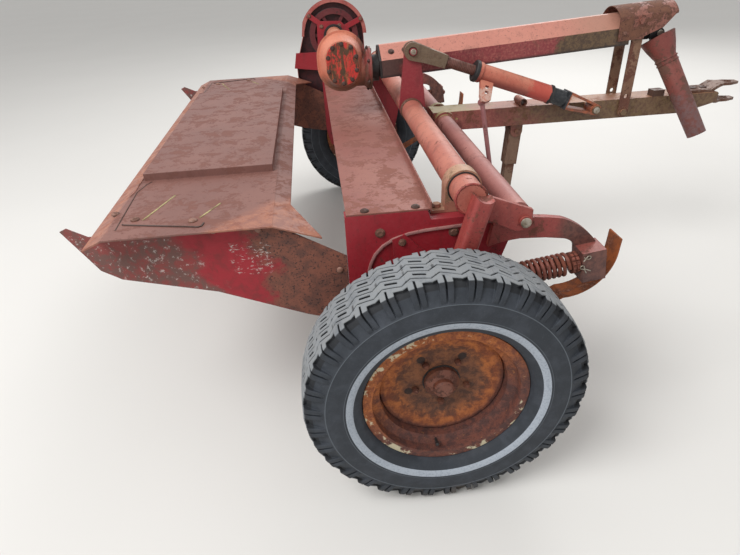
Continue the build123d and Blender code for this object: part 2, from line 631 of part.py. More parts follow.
BRACKET_T = 6.0
CROSS_END = GUARD_IN - BRACKET_T - 2 * FIT
CROSS_DEPTH = 34.0       # length of the tube inside the gearbox
CROSS_BORE_R = 24.0
BOSS_R = 62.0            # gearbox boss round the tube, and the ring beside it
with BuildPart() as cross_shaft_tube:
    for start, radius, length in ((CROSS_END, CROSS_R, CROSS_END - GEAR_LEFT + CROSS_DEPTH),
                                  (CROSS_END, CROSS_R + 10, 8),
                                  (GEAR_LEFT + FIT + 10, BOSS_R, 10)):
        with BuildSketch(side(start)):
            with Locations(GEAR):
                Circle(radius)
                Circle(CROSS_BORE_R, mode=Mode.SUBTRACT)
        extrude(amount=length)
pieces["cross_shaft_tube"] = cross_shaft_tube.part

BRACKET_FOOT_Z = COVER_Z + SHEET
BRACKET_STRAPS = (((-100, 940), (18, 992)), ((-185, 968), (-256, 1019)))    # (on the plate, on the guard)
with BuildPart() as guard_bracket:
    with BuildSketch(side(GUARD_IN - FIT)):
        with BuildLine():
            Polyline((-212, 988), (-93, 984), (-51, 943), (-34, 880), (-34, BRACKET_FOOT_Z),
                     (-217, BRACKET_FOOT_Z), (-348, 770), (-333, 844), (-218, 843), close=True)
        make_face()
        for foot, head in BRACKET_STRAPS:
            with BuildLine():
                Line(foot, head)
            trace(line_width=24)
        with Locations(GEAR):
            Circle(17 + RUN, mode=Mode.SUBTRACT)
    extrude(amount=BRACKET_T)
    with BuildSketch(side(GUARD_IN - FIT - BRACKET_T + 1)):
        with Locations((-130, BRACKET_FOOT_Z + 4)):
            Rectangle(192, 8)
    extrude(amount=50)
pieces["guard_bracket"] = guard_bracket.part

# Gearbox, driveline beam with its hood, straps and the drive shaft's guard
def eave(x):
    return BEAM_EAVE + BEAM_SLOPE * x


beam_tilt = degrees(atan2(BEAM_SLOPE, 1))
beam_dir = Vector(cos(radians(beam_tilt)), 0, sin(radians(beam_tilt)))

beam_plane = Plane(origin=(AXLE_X + BEAM_REAR_X, 0, eave(BEAM_REAR_X)), x_dir=(0, -1, 0), z_dir=tuple(beam_dir))

COVER = (-146.0, 952.0)  # middle of the gearbox cover
COVER_HALF = 57.0
COVER_RISE = 32.0        # height of the straight stretch of its sides
CASE_DRAFT = 22.0        # degrees
BELL_R = 75.0
BELL_AXIS_Z = 918.0
BELL_FRONT_X = -39.0
NECK_R = 46.0
END_PLATE_T = 8.0

bell_origin = Vector(AXLE_X + GEAR[0], 0, BELL_AXIS_Z)
bell_plane = Plane(origin=bell_origin, x_dir=(1, 0, 0), z_dir=(0, -1, 0))
bell_run = BELL_FRONT_X - GEAR[0]
neck_run = BEAM_REAR_X - FIT - END_PLATE_T - GEAR[0]
with BuildPart() as gearbox:
    with BuildSketch(side(-GEAR_RIGHT)):
        with Locations(COVER):
            SlotCenterToCenter(COVER_RISE, 2 * COVER_HALF, rotation=90)
    extrude(amount=6)
    with BuildSketch(Plane(origin=(AXLE_X, -GEAR_RIGHT, 0), x_dir=(1, 0, 0), z_dir=(0, 1, 0))):
        with Locations((COVER[0], -COVER[1])):
            SlotCenterToCenter(COVER_RISE, 2 * COVER_HALF + 6, rotation=90)
    extrude(amount=GEAR_RIGHT - 25, taper=-CASE_DRAFT)
    with BuildSketch(side(GEAR_LEFT - 20)):
        with Locations(COVER):
            SlotCenterToCenter(COVER_RISE, 2 * COVER_HALF + 6, rotation=90)
    extrude(amount=GEAR_LEFT - 20 + 26, taper=-CASE_DRAFT)
    with BuildSketch(side(GEAR_LEFT)):
        with Locations(GEAR):
            Circle(BOSS_R)
    extrude(amount=GEAR_LEFT)
    with BuildSketch(bell_plane):
        with BuildLine():
            Polyline((0, 0), (0, BOSS_R - 2), (BOSS_R + 2, BOSS_R - 2), (BOSS_R + 12, BELL_R - 6),
                     (bell_run - 9, BELL_R - 6), (bell_run - 9, BELL_R), (bell_run, BELL_R), (bell_run, NECK_R),
                     (neck_run + 1, NECK_R), (neck_run + 1, 0), close=True)
        make_face()
    revolve(axis=Axis(bell_origin, (1, 0, 0)))
    with BuildSketch(beam_plane.offset(-FIT - END_PLATE_T)):
        with BuildLine():
            Polyline((-BEAM_HALF, 0), (-BEAM_HALF, BEAM_SIDE), (BEAM_HALF, BEAM_SIDE), (BEAM_HALF, 0),
                     (10, -BEAM_RIDGE), (-10, -BEAM_RIDGE), close=True)
        make_face()
    extrude(amount=END_PLATE_T)
    with BuildSketch(side(GEAR_LEFT + 1)):
        with Locations(GEAR):
            Circle(CROSS_R + RUN)
    extrude(amount=CROSS_DEPTH + 2, mode=Mode.SUBTRACT)
pieces["gearbox"] = gearbox.part

with BuildPart() as driveline_beam:
    with BuildSketch(beam_plane):
        with BuildLine():
            Polyline((-BEAM_HALF, 0), (-BEAM_HALF, BEAM_SIDE), (BEAM_HALF, BEAM_SIDE), (BEAM_HALF, 0),
                     (10, -BEAM_RIDGE), (-10, -BEAM_RIDGE), close=True)
        make_face()
    extrude(amount=(BEAM_FRONT_X - BEAM_REAR_X) / cos(radians(beam_tilt)))
pieces["driveline_beam"] = driveline_beam.part

HOOD_REAR_X = 868.0
HOOD_FRONT_X = 1084.0
HOOD_HALF = 69.0
HOOD_SKIRT = 44.0        # depth of the sides below the eave
PAD = (30.0, 24.0)       # length and height of the spacers between hood and beam
HOOD_T = 3.0
BOLT_R = 7.0
hood_cut = [(STRAP_X + 18, -83), (STRAP_X + 18, -37), (HOOD_FRONT_X - 49, -15), (HOOD_FRONT_X - 10, 26),
            (HOOD_FRONT_X + 28, 38), (HOOD_FRONT_X + 28, -83)]     # (x, height over the eave's line)
hood_plane = Plane(origin=(AXLE_X + HOOD_REAR_X, 0, eave(HOOD_REAR_X)), x_dir=(0, -1, 0), z_dir=tuple(beam_dir))
with BuildPart() as driveline_hood:
    with BuildSketch(hood_plane):
        with BuildLine():
            Polyline((-HOOD_HALF, -36), (-HOOD_HALF, HOOD_SKIRT), (-HOOD_HALF + HOOD_T, HOOD_SKIRT),
                     (-HOOD_HALF + HOOD_T, -36))
            ThreePointArc((-HOOD_HALF + HOOD_T, -36), (0, -67), (HOOD_HALF - HOOD_T, -36))
            Polyline((HOOD_HALF - HOOD_T, -36), (HOOD_HALF - HOOD_T, HOOD_SKIRT), (HOOD_HALF, HOOD_SKIRT),
                     (HOOD_HALF, -36))
            ThreePointArc((HOOD_HALF, -36), (0, -70), (-HOOD_HALF, -36))
        make_face()
    extrude(amount=(HOOD_FRONT_X - HOOD_REAR_X) / cos(radians(beam_tilt)))
    with BuildSketch(side(100)):
        with BuildLine():
            Polyline(*[(x, eave(x) + rise) for x, rise in hood_cut], close=True)
        make_face()
    extrude(amount=200, mode=Mode.SUBTRACT)
    with BuildSketch(side(HOOD_HALF + 8)):
        with Locations((STRAP_X, STRAP_TOP)):
            Circle(BOLT_R)
    extrude(amount=2 * (HOOD_HALF + 8))
    for y in (HOOD_HALF + 8, -HOOD_HALF):
        with BuildSketch(side(y)):
            with Locations((STRAP_X, STRAP_TOP)):
                RegularPolygon(13, 6)
        extrude(amount=8)
    for y in (HOOD_HALF - HOOD_T + 0.5, -BEAM_HALF - FIT):
        with BuildSketch(side(y)):
            with Locations(((HOOD_REAR_X + BEAM_FRONT_X) / 2, 990)):
                Rectangle(*PAD)
        extrude(amount=HOOD_HALF - HOOD_T + 0.5 - BEAM_HALF - FIT)
pieces["driveline_hood"] = driveline_hood.part

STRAP_IN = 52.0
STRAP_T = 8.0
STRAP_W = 40.0
STRAP_PLAY = 4.0
with BuildPart() as beam_strap:
    for y in (STRAP_IN + STRAP_T, -STRAP_IN):
        with BuildSketch(side(y)):
            with Locations((STRAP_X, (STRAP_TOP + STRAP_FOOT) / 2)):
                SlotCenterToCenter(STRAP_TOP - STRAP_FOOT, STRAP_W, rotation=90)
            with Locations((STRAP_X, STRAP_TOP)):
                Circle(BOLT_R + RUN, mode=Mode.SUBTRACT)
            with Locations((STRAP_X, STRAP_FOOT)):
                Circle(BOLT_R + STRAP_PLAY, mode=Mode.SUBTRACT)
            with Locations((STRAP_X, STRAP_FOOT + 60)):
                Circle(8, mode=Mode.SUBTRACT)
        extrude(amount=STRAP_T)
pieces["beam_strap"] = beam_strap.part

PTO = Vector(AXLE_X + PTO_PIVOT[0], PTO_PIVOT[1], PTO_PIVOT[2])
pto_span = Vector(PTO_END[0] - PTO_PIVOT[0], PTO_END[1] - PTO_PIVOT[1], PTO_END[2] - PTO_PIVOT[2])
CROSS_PIN_R = 8.0
with BuildPart() as joint_yoke:
    with BuildSketch(Plane(origin=(AXLE_X + BEAM_FRONT_X + 3.5, 0, PTO_PIVOT[2]), x_dir=(0, 1, 0), z_dir=(1, 0, 0))):
        Circle(16)
    extrude(amount=PTO_PIVOT[0] - 50 - BEAM_FRONT_X - 3.5)
    with BuildSketch(Plane(origin=PTO - Vector(60, 0, 0), x_dir=(0, 1, 0), z_dir=(1, 0, 0))):
        Circle(24)
    extrude(amount=30)
    with BuildSketch(Plane(origin=PTO - Vector(38, 0, 0), x_dir=(0, 1, 0), z_dir=(1, 0, 0))):
        Rectangle(68, 36)
    extrude(amount=9)
    for y in (-24, 34):
        with BuildSketch(Plane(origin=PTO + Vector(0, y, 0), x_dir=(1, 0, 0), z_dir=(0, -1, 0))):
            with Locations((-14, 0)):
                Rectangle(34, 32)
            Circle(17)
            Circle(CROSS_PIN_R + RUN, mode=Mode.SUBTRACT)
        extrude(amount=10)
pieces["joint_yoke"] = joint_yoke.part

pto_dir = pto_span.normalized()
SHIELD_SEAT = 68.0       # bearing that the shaft's guard turns on, from the middle of the joint
SHIELD_LAND_R = 32.0
BELL_MOUTH = 20.0        # open end of the guard's bell
BELL_MOUTH_R = 63.0
GUARD_TUBE_R = 38.0
GUARD_END_R = 33.5
GUARD_T = 3.5
with BuildPart() as drive_shaft:
    with BuildSketch(Plane(origin=PTO + Vector(0, 33, 0), x_dir=(1, 0, 0), z_dir=(0, -1, 0))):
        Circle(CROSS_PIN_R)
    extrude(amount=66)
    with BuildSketch(Plane(origin=PTO + Vector(0, 23, 0), x_dir=(1, 0, 0), z_dir=(0, -1, 0))):
        Circle(15)
    extrude(amount=46)
    with BuildSketch(Plane(origin=PTO, z_dir=tuple(pto_dir))):
        Circle(14)
    extrude(amount=pto_span.length - 24)
    with BuildSketch(Plane(origin=PTO + pto_dir * (SHIELD_SEAT - 12), z_dir=tuple(pto_dir))):
        Circle(SHIELD_LAND_R)
    extrude(amount=12)
    with BuildSketch(Plane(origin=PTO + pto_dir * (SHIELD_SEAT - 20), z_dir=tuple(pto_dir))):
        Circle(SHIELD_LAND_R + 10)
    extrude(amount=9)
pieces["drive_shaft"] = drive_shaft.part

shield_plane = Plane(origin=PTO, x_dir=tuple(pto_dir), z_dir=tuple(pto_dir.cross(Vector(0, 0, 1)).normalized()))
with BuildPart() as shaft_shield:
    with BuildSketch(shield_plane):
        with BuildLine():
            Polyline((BELL_MOUTH, BELL_MOUTH_R - 3), (BELL_MOUTH + 3, BELL_MOUTH_R),
                     (BELL_MOUTH + 12, BELL_MOUTH_R - 3), (BELL_MOUTH + 38, BELL_MOUTH_R - 10),
                     (SHIELD_SEAT + 16, GUARD_TUBE_R + 6), (SHIELD_SEAT + 32, GUARD_TUBE_R),
                     (pto_span.length, GUARD_END_R), (pto_span.length, GUARD_END_R - GUARD_T),
                     (SHIELD_SEAT + 32, GUARD_TUBE_R - GUARD_T), (SHIELD_SEAT + 16, GUARD_TUBE_R - 2),
                     (SHIELD_SEAT + 16, SHIELD_LAND_R + FIT), (SHIELD_SEAT + FIT, SHIELD_LAND_R + FIT),
                     (SHIELD_SEAT + FIT, GUARD_TUBE_R + 6), (BELL_MOUTH + 38, BELL_MOUTH_R - 13.5),
                     (BELL_MOUTH + 12, BELL_MOUTH_R - 6.5), close=True)
        make_face()
    revolve(axis=Axis(PTO, pto_dir))
pieces["shaft_shield"] = shaft_shield.part

# Drawbar with its hinge tube, hitch and parking stand
with BuildPart() as draw_tube:
    with BuildSketch(side(DRAW_TUBE_HALF)):
        with Locations(DRAW_TUBE):
            Circle(DRAW_TUBE_R)
    extrude(amount=2 * DRAW_TUBE_HALF)
    for y in (DRAW_TUBE_HALF, -DRAW_TUBE_HALF + 68):
        with BuildSketch(side(y)):
            with Locations(DRAW_TUBE):
                Circle(HINGE_PIN_R + RUN)
        extrude(amount=68, mode=Mode.SUBTRACT)
pieces["draw_tube"] = draw_tube.part

JACK_STUD_R = 11.0
TIE_RING_X = 545.0
HOOK_X = 1090.0
with BuildPart() as draw_beam:
    with BuildSketch(side(BAR_HALF)):
        with BuildLine():
            Polyline((BAR_REAR_X, BAR_BOTTOM), (BAR_REAR_X, BAR_TOP), (BAR_FRONT_X, BAR_TOP),
                     (BAR_FRONT_X, BAR_NOSE), (BAR_TAPER_X, BAR_BOTTOM), close=True)
        make_face()
    extrude(amount=2 * BAR_HALF)
    for y in (BAR_HALF + 24, -BAR_HALF):
        with BuildSketch(side(y)):
            with Locations(DRAW_TUBE):
                Circle(DRAW_TUBE_R + 11)
            with Locations((DRAW_TUBE[0] + 26, DRAW_TUBE[1] + 4)):
                Rectangle(52, 12)
        extrude(amount=24)
    with BuildSketch(side(BAR_HALF + 30)):
        with Locations(DRAW_TUBE):
            Circle(DRAW_TUBE_R + FIT)
    extrude(amount=2 * BAR_HALF + 60, mode=Mode.SUBTRACT)
    with BuildSketch(side(-BAR_HALF)):
        with Locations(JACK_PIN):
            Circle(JACK_STUD_R)
    extrude(amount=-JACK_Y + 36 - BAR_HALF)
    with BuildSketch(side(JACK_Y - 31)):
        with Locations(JACK_PIN):
            Circle(JACK_STUD_R + 5)
    extrude(amount=6)
    for y in (BAR_HALF + 18, -BAR_HALF):
        with BuildSketch(side(y)):
            with Locations((STRAP_X, STRAP_FOOT)):
                Circle(BOLT_R)
        extrude(amount=18)
    for y in (BAR_HALF + 18, -BAR_HALF - 11):
        with BuildSketch(side(y)):
            with Locations((STRAP_X, STRAP_FOOT)):
                RegularPolygon(14, 6)
        extrude(amount=7)
    for y in (34, -27):
        with BuildSketch(side(y)):
            with Locations((STAND_PIN[0], STAND_PIN[1] + 14)):
                Rectangle(48, 28)
            with Locations(STAND_PIN):
                Circle(24)
        extrude(amount=7)
    with BuildSketch(side(40)):
        with Locations(STAND_PIN):
            Circle(8)
    extrude(amount=80)
    with BuildSketch(side(24)):
        with Locations((TIE_RING_X, BAR_TOP + 13)):
            Circle(15)
            Circle(11, mode=Mode.SUBTRACT)
    extrude(amount=70)
    with BuildSketch(side(-10)):
        with Locations((HOOK_X, BAR_TOP + 12)):
            Rectangle(46, 24)
    extrude(amount=40)
pieces["draw_beam"] = draw_beam.part

stand_dir = Vector(-sin(radians(STAND_LEAN)), 0, -cos(radians(STAND_LEAN)))
stand_origin = Vector(AXLE_X + STAND_PIN[0], 0, STAND_PIN[1])
stand_length = STAND_PIN[1] / cos(radians(STAND_LEAN))
stand_plane = Plane(origin=stand_origin, x_dir=(cos(radians(STAND_LEAN)), 0, -sin(radians(STAND_LEAN))),
                    z_dir=(0, -1, 0))
with BuildPart() as parking_stand:
    with BuildSketch(stand_plane):
        Circle(25)
        with Locations((0, -70)):
            Rectangle(50, 140)
    extrude(amount=25, both=True)
    with BuildSketch(stand_plane):
        with Locations((0, -stand_length / 2 - 60)):
            Rectangle(38, stand_length - 120)
    extrude(amount=19, both=True)
    with BuildSketch(side(-30)):
        with Locations((STAND_PIN[0] - stand_length * sin(radians(STAND_LEAN)), 3)):
            Rectangle(100, 6)
    extrude(amount=-60)
    with BuildSketch(side(45)):
        with Locations(STAND_PIN):
            Circle(8 + RUN)
    extrude(amount=90, mode=Mode.SUBTRACT)
    split(bisect_by=Plane.XY, keep=Keep.TOP)
pieces["parking_stand"] = parking_stand.part

HITCH_HALF = 42.0
JAW_T = 10.0
JAW_LOW = 703.0          # underside of the lower jaw
JAW_HIGH = 766.0         # underside of the upper jaw
JAW_HALF = 30.0          # half width of a jaw at the pin
STRAP_REAR_X = 1215.0    # rear end of the strap on top of the beam
HITCH_PIN_R = 14.0
with BuildPart() as hitch_clevis:
    with BuildSketch(side(HITCH_HALF)):
        with BuildLine():
            strap_low = BAR_TOP + FIT
            Polyline((STRAP_REAR_X, strap_low), (BAR_FRONT_X - 20, strap_low), (BAR_FRONT_X + 10, JAW_HIGH),
                     (HITCH_FRONT, JAW_HIGH), (HITCH_FRONT, JAW_HIGH + JAW_T), (BAR_FRONT_X + 6, JAW_HIGH + JAW_T),
                     (BAR_FRONT_X - 24, strap_low + JAW_T), (STRAP_REAR_X, strap_low + JAW_T), close=True)
        make_face()
        with BuildLine():
            Polyline((BAR_FRONT_X + FIT, JAW_LOW), (BAR_FRONT_X + FIT, BAR_TOP - 6),
                     (BAR_FRONT_X + JAW_T, BAR_TOP - 6), (BAR_FRONT_X + JAW_T, JAW_LOW + JAW_T),
                     (HITCH_FRONT, JAW_LOW + JAW_T), (HITCH_FRONT, JAW_LOW), close=True)
        make_face()
    extrude(amount=2 * HITCH_HALF)
    with BuildSketch(Plane.XY.offset(JAW_LOW - 10)):
        with Locations((AXLE_X + HITCH_X, 0)):
            Circle(HITCH_PIN_R)
    extrude(amount=JAW_HIGH + JAW_T - JAW_LOW + 20, mode=Mode.SUBTRACT)
    with BuildSketch(Plane.XY.offset(JAW_LOW - 10)):
        for turn in (1, -1):
            with BuildLine():
                Polyline((AXLE_X + BAR_FRONT_X + JAW_T, (HITCH_HALF + 1) * turn),
                         (AXLE_X + HITCH_X - 35, JAW_HALF * turn), (AXLE_X + HITCH_X - 5, JAW_HALF * turn),
                         (AXLE_X + HITCH_FRONT + 4, 12 * turn),
                         (AXLE_X + HITCH_FRONT + 4, (HITCH_HALF + 1) * turn), close=True)
            make_face()
    extrude(amount=JAW_HIGH + JAW_T - JAW_LOW + 20, mode=Mode.SUBTRACT)
pieces["hitch_clevis"] = hitch_clevis.part

# Lift post and screw jack
jack_run = Vector(JACK_PIN[0] - POST_PIN[0], 0, JACK_PIN[1] - POST_PIN[1])
jack_dir = jack_run.normalized()
JACK_LENGTH = jack_run.length
POST_T = 14.0
EYE_PLAY = 4.0
jack_plane = Plane(origin=(AXLE_X + POST_PIN[0], JACK_Y, POST_PIN[1]), x_dir=tuple(jack_dir), z_dir=(0, -1, 0))

with BuildPart() as lift_post:
    with BuildSketch(side(JACK_Y + POST_T / 2)):
        with BuildLine():
            post_front = (POST_PIN[0] + 28, POST_PIN[1])
            post_rear = (POST_PIN[0] - 28, POST_PIN[1])
            Polyline(post_front, (147, 790), (50, 790), post_rear)
            ThreePointArc(post_rear, (POST_PIN[0], POST_PIN[1] + 28), post_front)
        make_face()
        with Locations(AXLE_TUBE):
            Circle(AXLE_TUBE_R + FIT, mode=Mode.SUBTRACT)
    extrude(amount=POST_T)
    with BuildSketch(side(JACK_Y + 26)):
        with Locations(POST_PIN):
            Circle(JACK_STUD_R)
    extrude(amount=52)
    for y in (JACK_Y + 26, JACK_Y - 21):
        with BuildSketch(side(y)):
            with Locations(POST_PIN):
                Circle(JACK_STUD_R + 2)
        extrude(amount=5)
pieces["lift_post"] = lift_post.part

SCREW_END = 470.0
NUT_AT = 246.0
TUBE_END = 552.0
with BuildPart() as jack_screw:
    with BuildSketch(Plane(origin=jack_plane.origin + Vector(0, 20, 0), x_dir=tuple(jack_dir), z_dir=(0, -1, 0))):
        Circle(30)
        with BuildLine():
            Polyline((0, 30), (0, -30), (60, -24), (128, -22), (128, 22), (60, 26), close=True)
        make_face()
        Circle(JACK_STUD_R + EYE_PLAY, mode=Mode.SUBTRACT)
    extrude(amount=40)
    with BuildSketch(Plane(origin=jack_plane.origin + Vector(0, 8.5, 0), x_dir=tuple(jack_dir), z_dir=(0, -1, 0))):
        with Locations((0, 0)):
            Rectangle(120, 90)
    extrude(amount=17, mode=Mode.SUBTRACT)
    with BuildSketch(Plane(origin=jack_plane.origin + jack_dir * 120, z_dir=tuple(jack_dir))):
        Circle(SCREW_R)
    extrude(amount=SCREW_END - 120)
pieces["jack_screw"] = jack_screw.part

crank_dir = Vector(-jack_plane.y_dir.X * 0.707, -0.707, -jack_plane.y_dir.Z * 0.707)
crank_plane = Plane(origin=jack_plane.origin + jack_dir * 292, x_dir=tuple(jack_dir),
                    z_dir=tuple(jack_dir.cross(crank_dir)))
with BuildPart() as jack_tube:
    with BuildSketch(jack_plane):
        with BuildLine():
            Polyline((NUT_AT, SCREW_R + RUN), (NUT_AT, 36), (NUT_AT + 18, 36), (NUT_AT + 18, JACK_R),
                     (TUBE_END, JACK_R), (TUBE_END, JACK_R - 3), (TUBE_END + 70, JACK_R - 3), (TUBE_END + 70, 0),
                     (TUBE_END - 20, 0), (TUBE_END - 20, SCREW_R + 2), (NUT_AT + 60, SCREW_R + 2),
                     (NUT_AT + 60, SCREW_R + RUN), close=True)
        make_face()
    revolve(axis=Axis(jack_plane.origin, jack_plane.x_dir))
    with BuildSketch(Plane(origin=jack_plane.origin + Vector(0, 30, 0), x_dir=tuple(jack_dir), z_dir=(0, -1, 0))):
        with BuildLine():
            Polyline((TUBE_END + 62, 32), (TUBE_END + 74, 32), (JACK_LENGTH, 20), (JACK_LENGTH, -20),
                     (TUBE_END + 74, -32), (TUBE_END + 62, -32), close=True)
        make_face()
        with BuildLine():
            Polyline((TUBE_END + 74, 23), (JACK_LENGTH - 16, 13), (JACK_LENGTH - 16, -13), (TUBE_END + 74, -23),
                     close=True)
        make_face(mode=Mode.SUBTRACT)
        with Locations((JACK_LENGTH, 0)):
            Circle(20)
            Circle(JACK_STUD_R + RUN, mode=Mode.SUBTRACT)
    extrude(amount=60)
    with BuildSketch(crank_plane):
        with BuildLine():
            Polyline((-26, 28), (26, 28), (20, 104), (0, 118), (-12, 118), (-22, 100), close=True)
        make_face()
        with Locations((2, 56), (2, 78)):
            Rectangle(14, 12, mode=Mode.SUBTRACT)
    extrude(amount=6, both=True)
pieces["jack_tube"] = jack_tube.part

HANDLE_R = 8.5
HANDLE_LENGTH = 320.0
crank_end = crank_plane.origin + crank_dir * 106 + jack_dir * (-4)
handle_dir = Vector(0.19, 0, -0.98).normalized()
with BuildPart() as jack_handle:
    with BuildSketch(Plane(origin=crank_end + crank_plane.z_dir * (6 + FIT + HANDLE_R), z_dir=tuple(handle_dir))):
        Circle(HANDLE_R)
    extrude(amount=HANDLE_LENGTH)
    with BuildSketch(Plane(origin=crank_end + crank_plane.z_dir * (6 + FIT), z_dir=tuple(crank_plane.z_dir))):
        Circle(13)
    extrude(amount=17)
pieces["jack_handle"] = jack_handle.part

# Mirror images, labels and files. Small fittings that the frame carries in pairs share one file.
PAIRED = ("tube_clamp", "hinge_bar", "roll_bearing", "roll_spring", "skid_shoe")
for name, piece in right_pieces.items():
    opposite = mirror(piece, about=Plane.XZ)
    if name in PAIRED:
        pieces[name + "s"] = Compound([piece.solid(), opposite.solid()])
    else:
        pieces[name + "_right"] = piece
        pieces[name + "_left"] = opposite

os.makedirs("parts", exist_ok=True)
for name, piece in pieces.items():
    piece.label = name
    export_step(piece, "parts/" + name + ".step")
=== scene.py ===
"""Towed hay crimper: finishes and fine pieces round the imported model, laid out as an add-on."""
import math
import random

import bpy
from mathutils import Matrix, Vector


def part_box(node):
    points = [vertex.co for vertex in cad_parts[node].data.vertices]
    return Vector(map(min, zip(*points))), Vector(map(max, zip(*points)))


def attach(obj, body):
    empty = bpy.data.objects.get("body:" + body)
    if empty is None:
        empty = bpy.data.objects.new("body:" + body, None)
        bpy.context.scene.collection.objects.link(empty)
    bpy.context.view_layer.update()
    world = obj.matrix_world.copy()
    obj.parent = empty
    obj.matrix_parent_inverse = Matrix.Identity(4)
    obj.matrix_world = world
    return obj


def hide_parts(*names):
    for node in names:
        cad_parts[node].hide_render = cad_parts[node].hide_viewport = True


bl_info = {
    "name": "Hay crimper",
    "version": (1, 0, 0),
    "blender": (4, 5, 0),
    "location": "3D View > Sidebar > Crimper",
    "description": "Dresses a towed hay crimper with worn finishes, tread, springs and fasteners",
    "category": "Object",
}

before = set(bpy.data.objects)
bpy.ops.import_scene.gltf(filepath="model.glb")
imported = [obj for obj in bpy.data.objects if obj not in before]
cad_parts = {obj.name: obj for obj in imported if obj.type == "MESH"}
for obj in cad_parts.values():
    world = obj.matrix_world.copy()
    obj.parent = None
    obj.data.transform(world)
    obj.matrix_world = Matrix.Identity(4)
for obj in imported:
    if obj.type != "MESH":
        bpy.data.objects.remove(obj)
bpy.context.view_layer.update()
MM = 0.001
TYRE_LOW, TYRE_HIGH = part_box("tyre_right")
AXLE_X = (TYRE_LOW.x + TYRE_HIGH.x) / 2 / MM
AXLE_Z = (TYRE_LOW.z + TYRE_HIGH.z) / 2 / MM
WHEEL_Y = -(TYRE_LOW.y + TYRE_HIGH.y) / 2 / MM
SIDES = (("right", -1), ("left", 1))
# places in millimetres: x ahead of the axle, y to the left, z above the floor
GEAR_X, GEAR_Z = -130.0, 920.0     # axis of the cross shaft
PLATE_FACE = -905.0                # outer face of the right end plate
DECK_TOP = 740.0
JOINT = (1050, 0, 978)             # universal joint
POST_PIN = (99, -104, 985)         # pin through the jack's eye
TREAD_DEPTH = 9.0


def at(x, y, z):
    """A place in metres from x ahead of the axle, y and z, all in millimetres."""
    return Vector((AXLE_X + x, y, z)) * MM


PTO = at(*JOINT)
PTO_WAY = (at(1205, -172, 625) - PTO).normalized()
POST_EYE = at(*POST_PIN)
JACK_WAY = (at(797, -104, 738) - POST_EYE).normalized()


def srgb(*values):
    """Linear colour of three screen values from 0 to 255."""
    return tuple((v / 255 / 12.92) if v < 10.3 else ((v / 255 + 0.055) / 1.055) ** 2.4 for v in values)


def colour(name, description, *values):
    return bpy.props.FloatVectorProperty(name=name, description=description, subtype="COLOR", size=3,
                                         min=0.0, max=1.0, default=srgb(*values))


def length(name, description, millimetres):
    return bpy.props.FloatProperty(name=name, description=description, unit="LENGTH", min=0.0,
                                   default=millimetres * MM)


def power(name, description, watts):
    return bpy.props.FloatProperty(name=name, description=description, default=watts, min=0.0)


def count(name, description, default, most):
    return bpy.props.IntProperty(name=name, description=description, min=4, max=most, default=default)


class CrimperColours(bpy.types.PropertyGroup):
    """Colours of the worn finishes."""
    red: colour("Red paint", "Paint where it has kept its colour", 150, 28, 40)
    maroon: colour("Shaded paint", "Old paint inside the belt guard", 74, 26, 30)
    rust: colour("Rust", "Even brown rust on sheet metal", 118, 70, 56)
    orange_rust: colour("Orange rust", "Fresh rust on the skids", 158, 84, 38)
    dark_rust: colour("Dark rust", "Old scale and pits", 58, 36, 32)
    cream: colour("Cream paint", "Paint left on the rim flanges", 205, 196, 166)
    moss: colour("Moss", "Dry moss and lichen on top of the drawbar", 158, 144, 92)
    steel: colour("Bare steel", "Pins and rubbed edges", 178, 170, 158)
    rubber: colour("Rubber", "Side walls of the tyres", 40, 45, 52)
    tread: colour("Worn tread", "Dusty top of the tread", 128, 132, 136)
    whitewall: colour("White wall", "Pale ring on the side walls", 172, 180, 190)
    smear: colour("Pale smears", "Old white paint on the wings", 196, 186, 180)
    floor: colour("Floor", "Studio floor", 226, 224, 220)


class CrimperSizes(bpy.types.PropertyGroup):
    """Sizes of the fine pieces and power of the lamps."""
    tread_pitches: count("Tread pitches", "Lugs round one shoulder of a tyre", 34, 60)
    tread_depth: length("Tread depth", "Depth of the grooves", TREAD_DEPTH)
    zigzag: length("Zigzag", "Side step of the tread's ribs", 9.0)
    white_in: length("White wall inner radius", "Inner radius of the pale ring", 233.0)
    white_out: length("White wall outer radius", "Outer radius of the pale ring", 251.0)
    spring_wire: length("Spring wire", "Radius of the springs' wire", 5.0)
    spring_pitch: length("Spring pitch", "Distance from coil to coil", 13.4)
    spring_turns: count("Spring turns", "Coils of one roll spring", 12, 30)
    key_power: power("Key lamp", "Power of the lamp at the camera's left, in watts", 235.0)
    back_power: power("Back lamp", "Power of the lamp behind, in watts", 170.0)


# Building finishes

FINISHES = {}
EDGE_ROUND = 2.2
BUMP_STRENGTH = 0.8


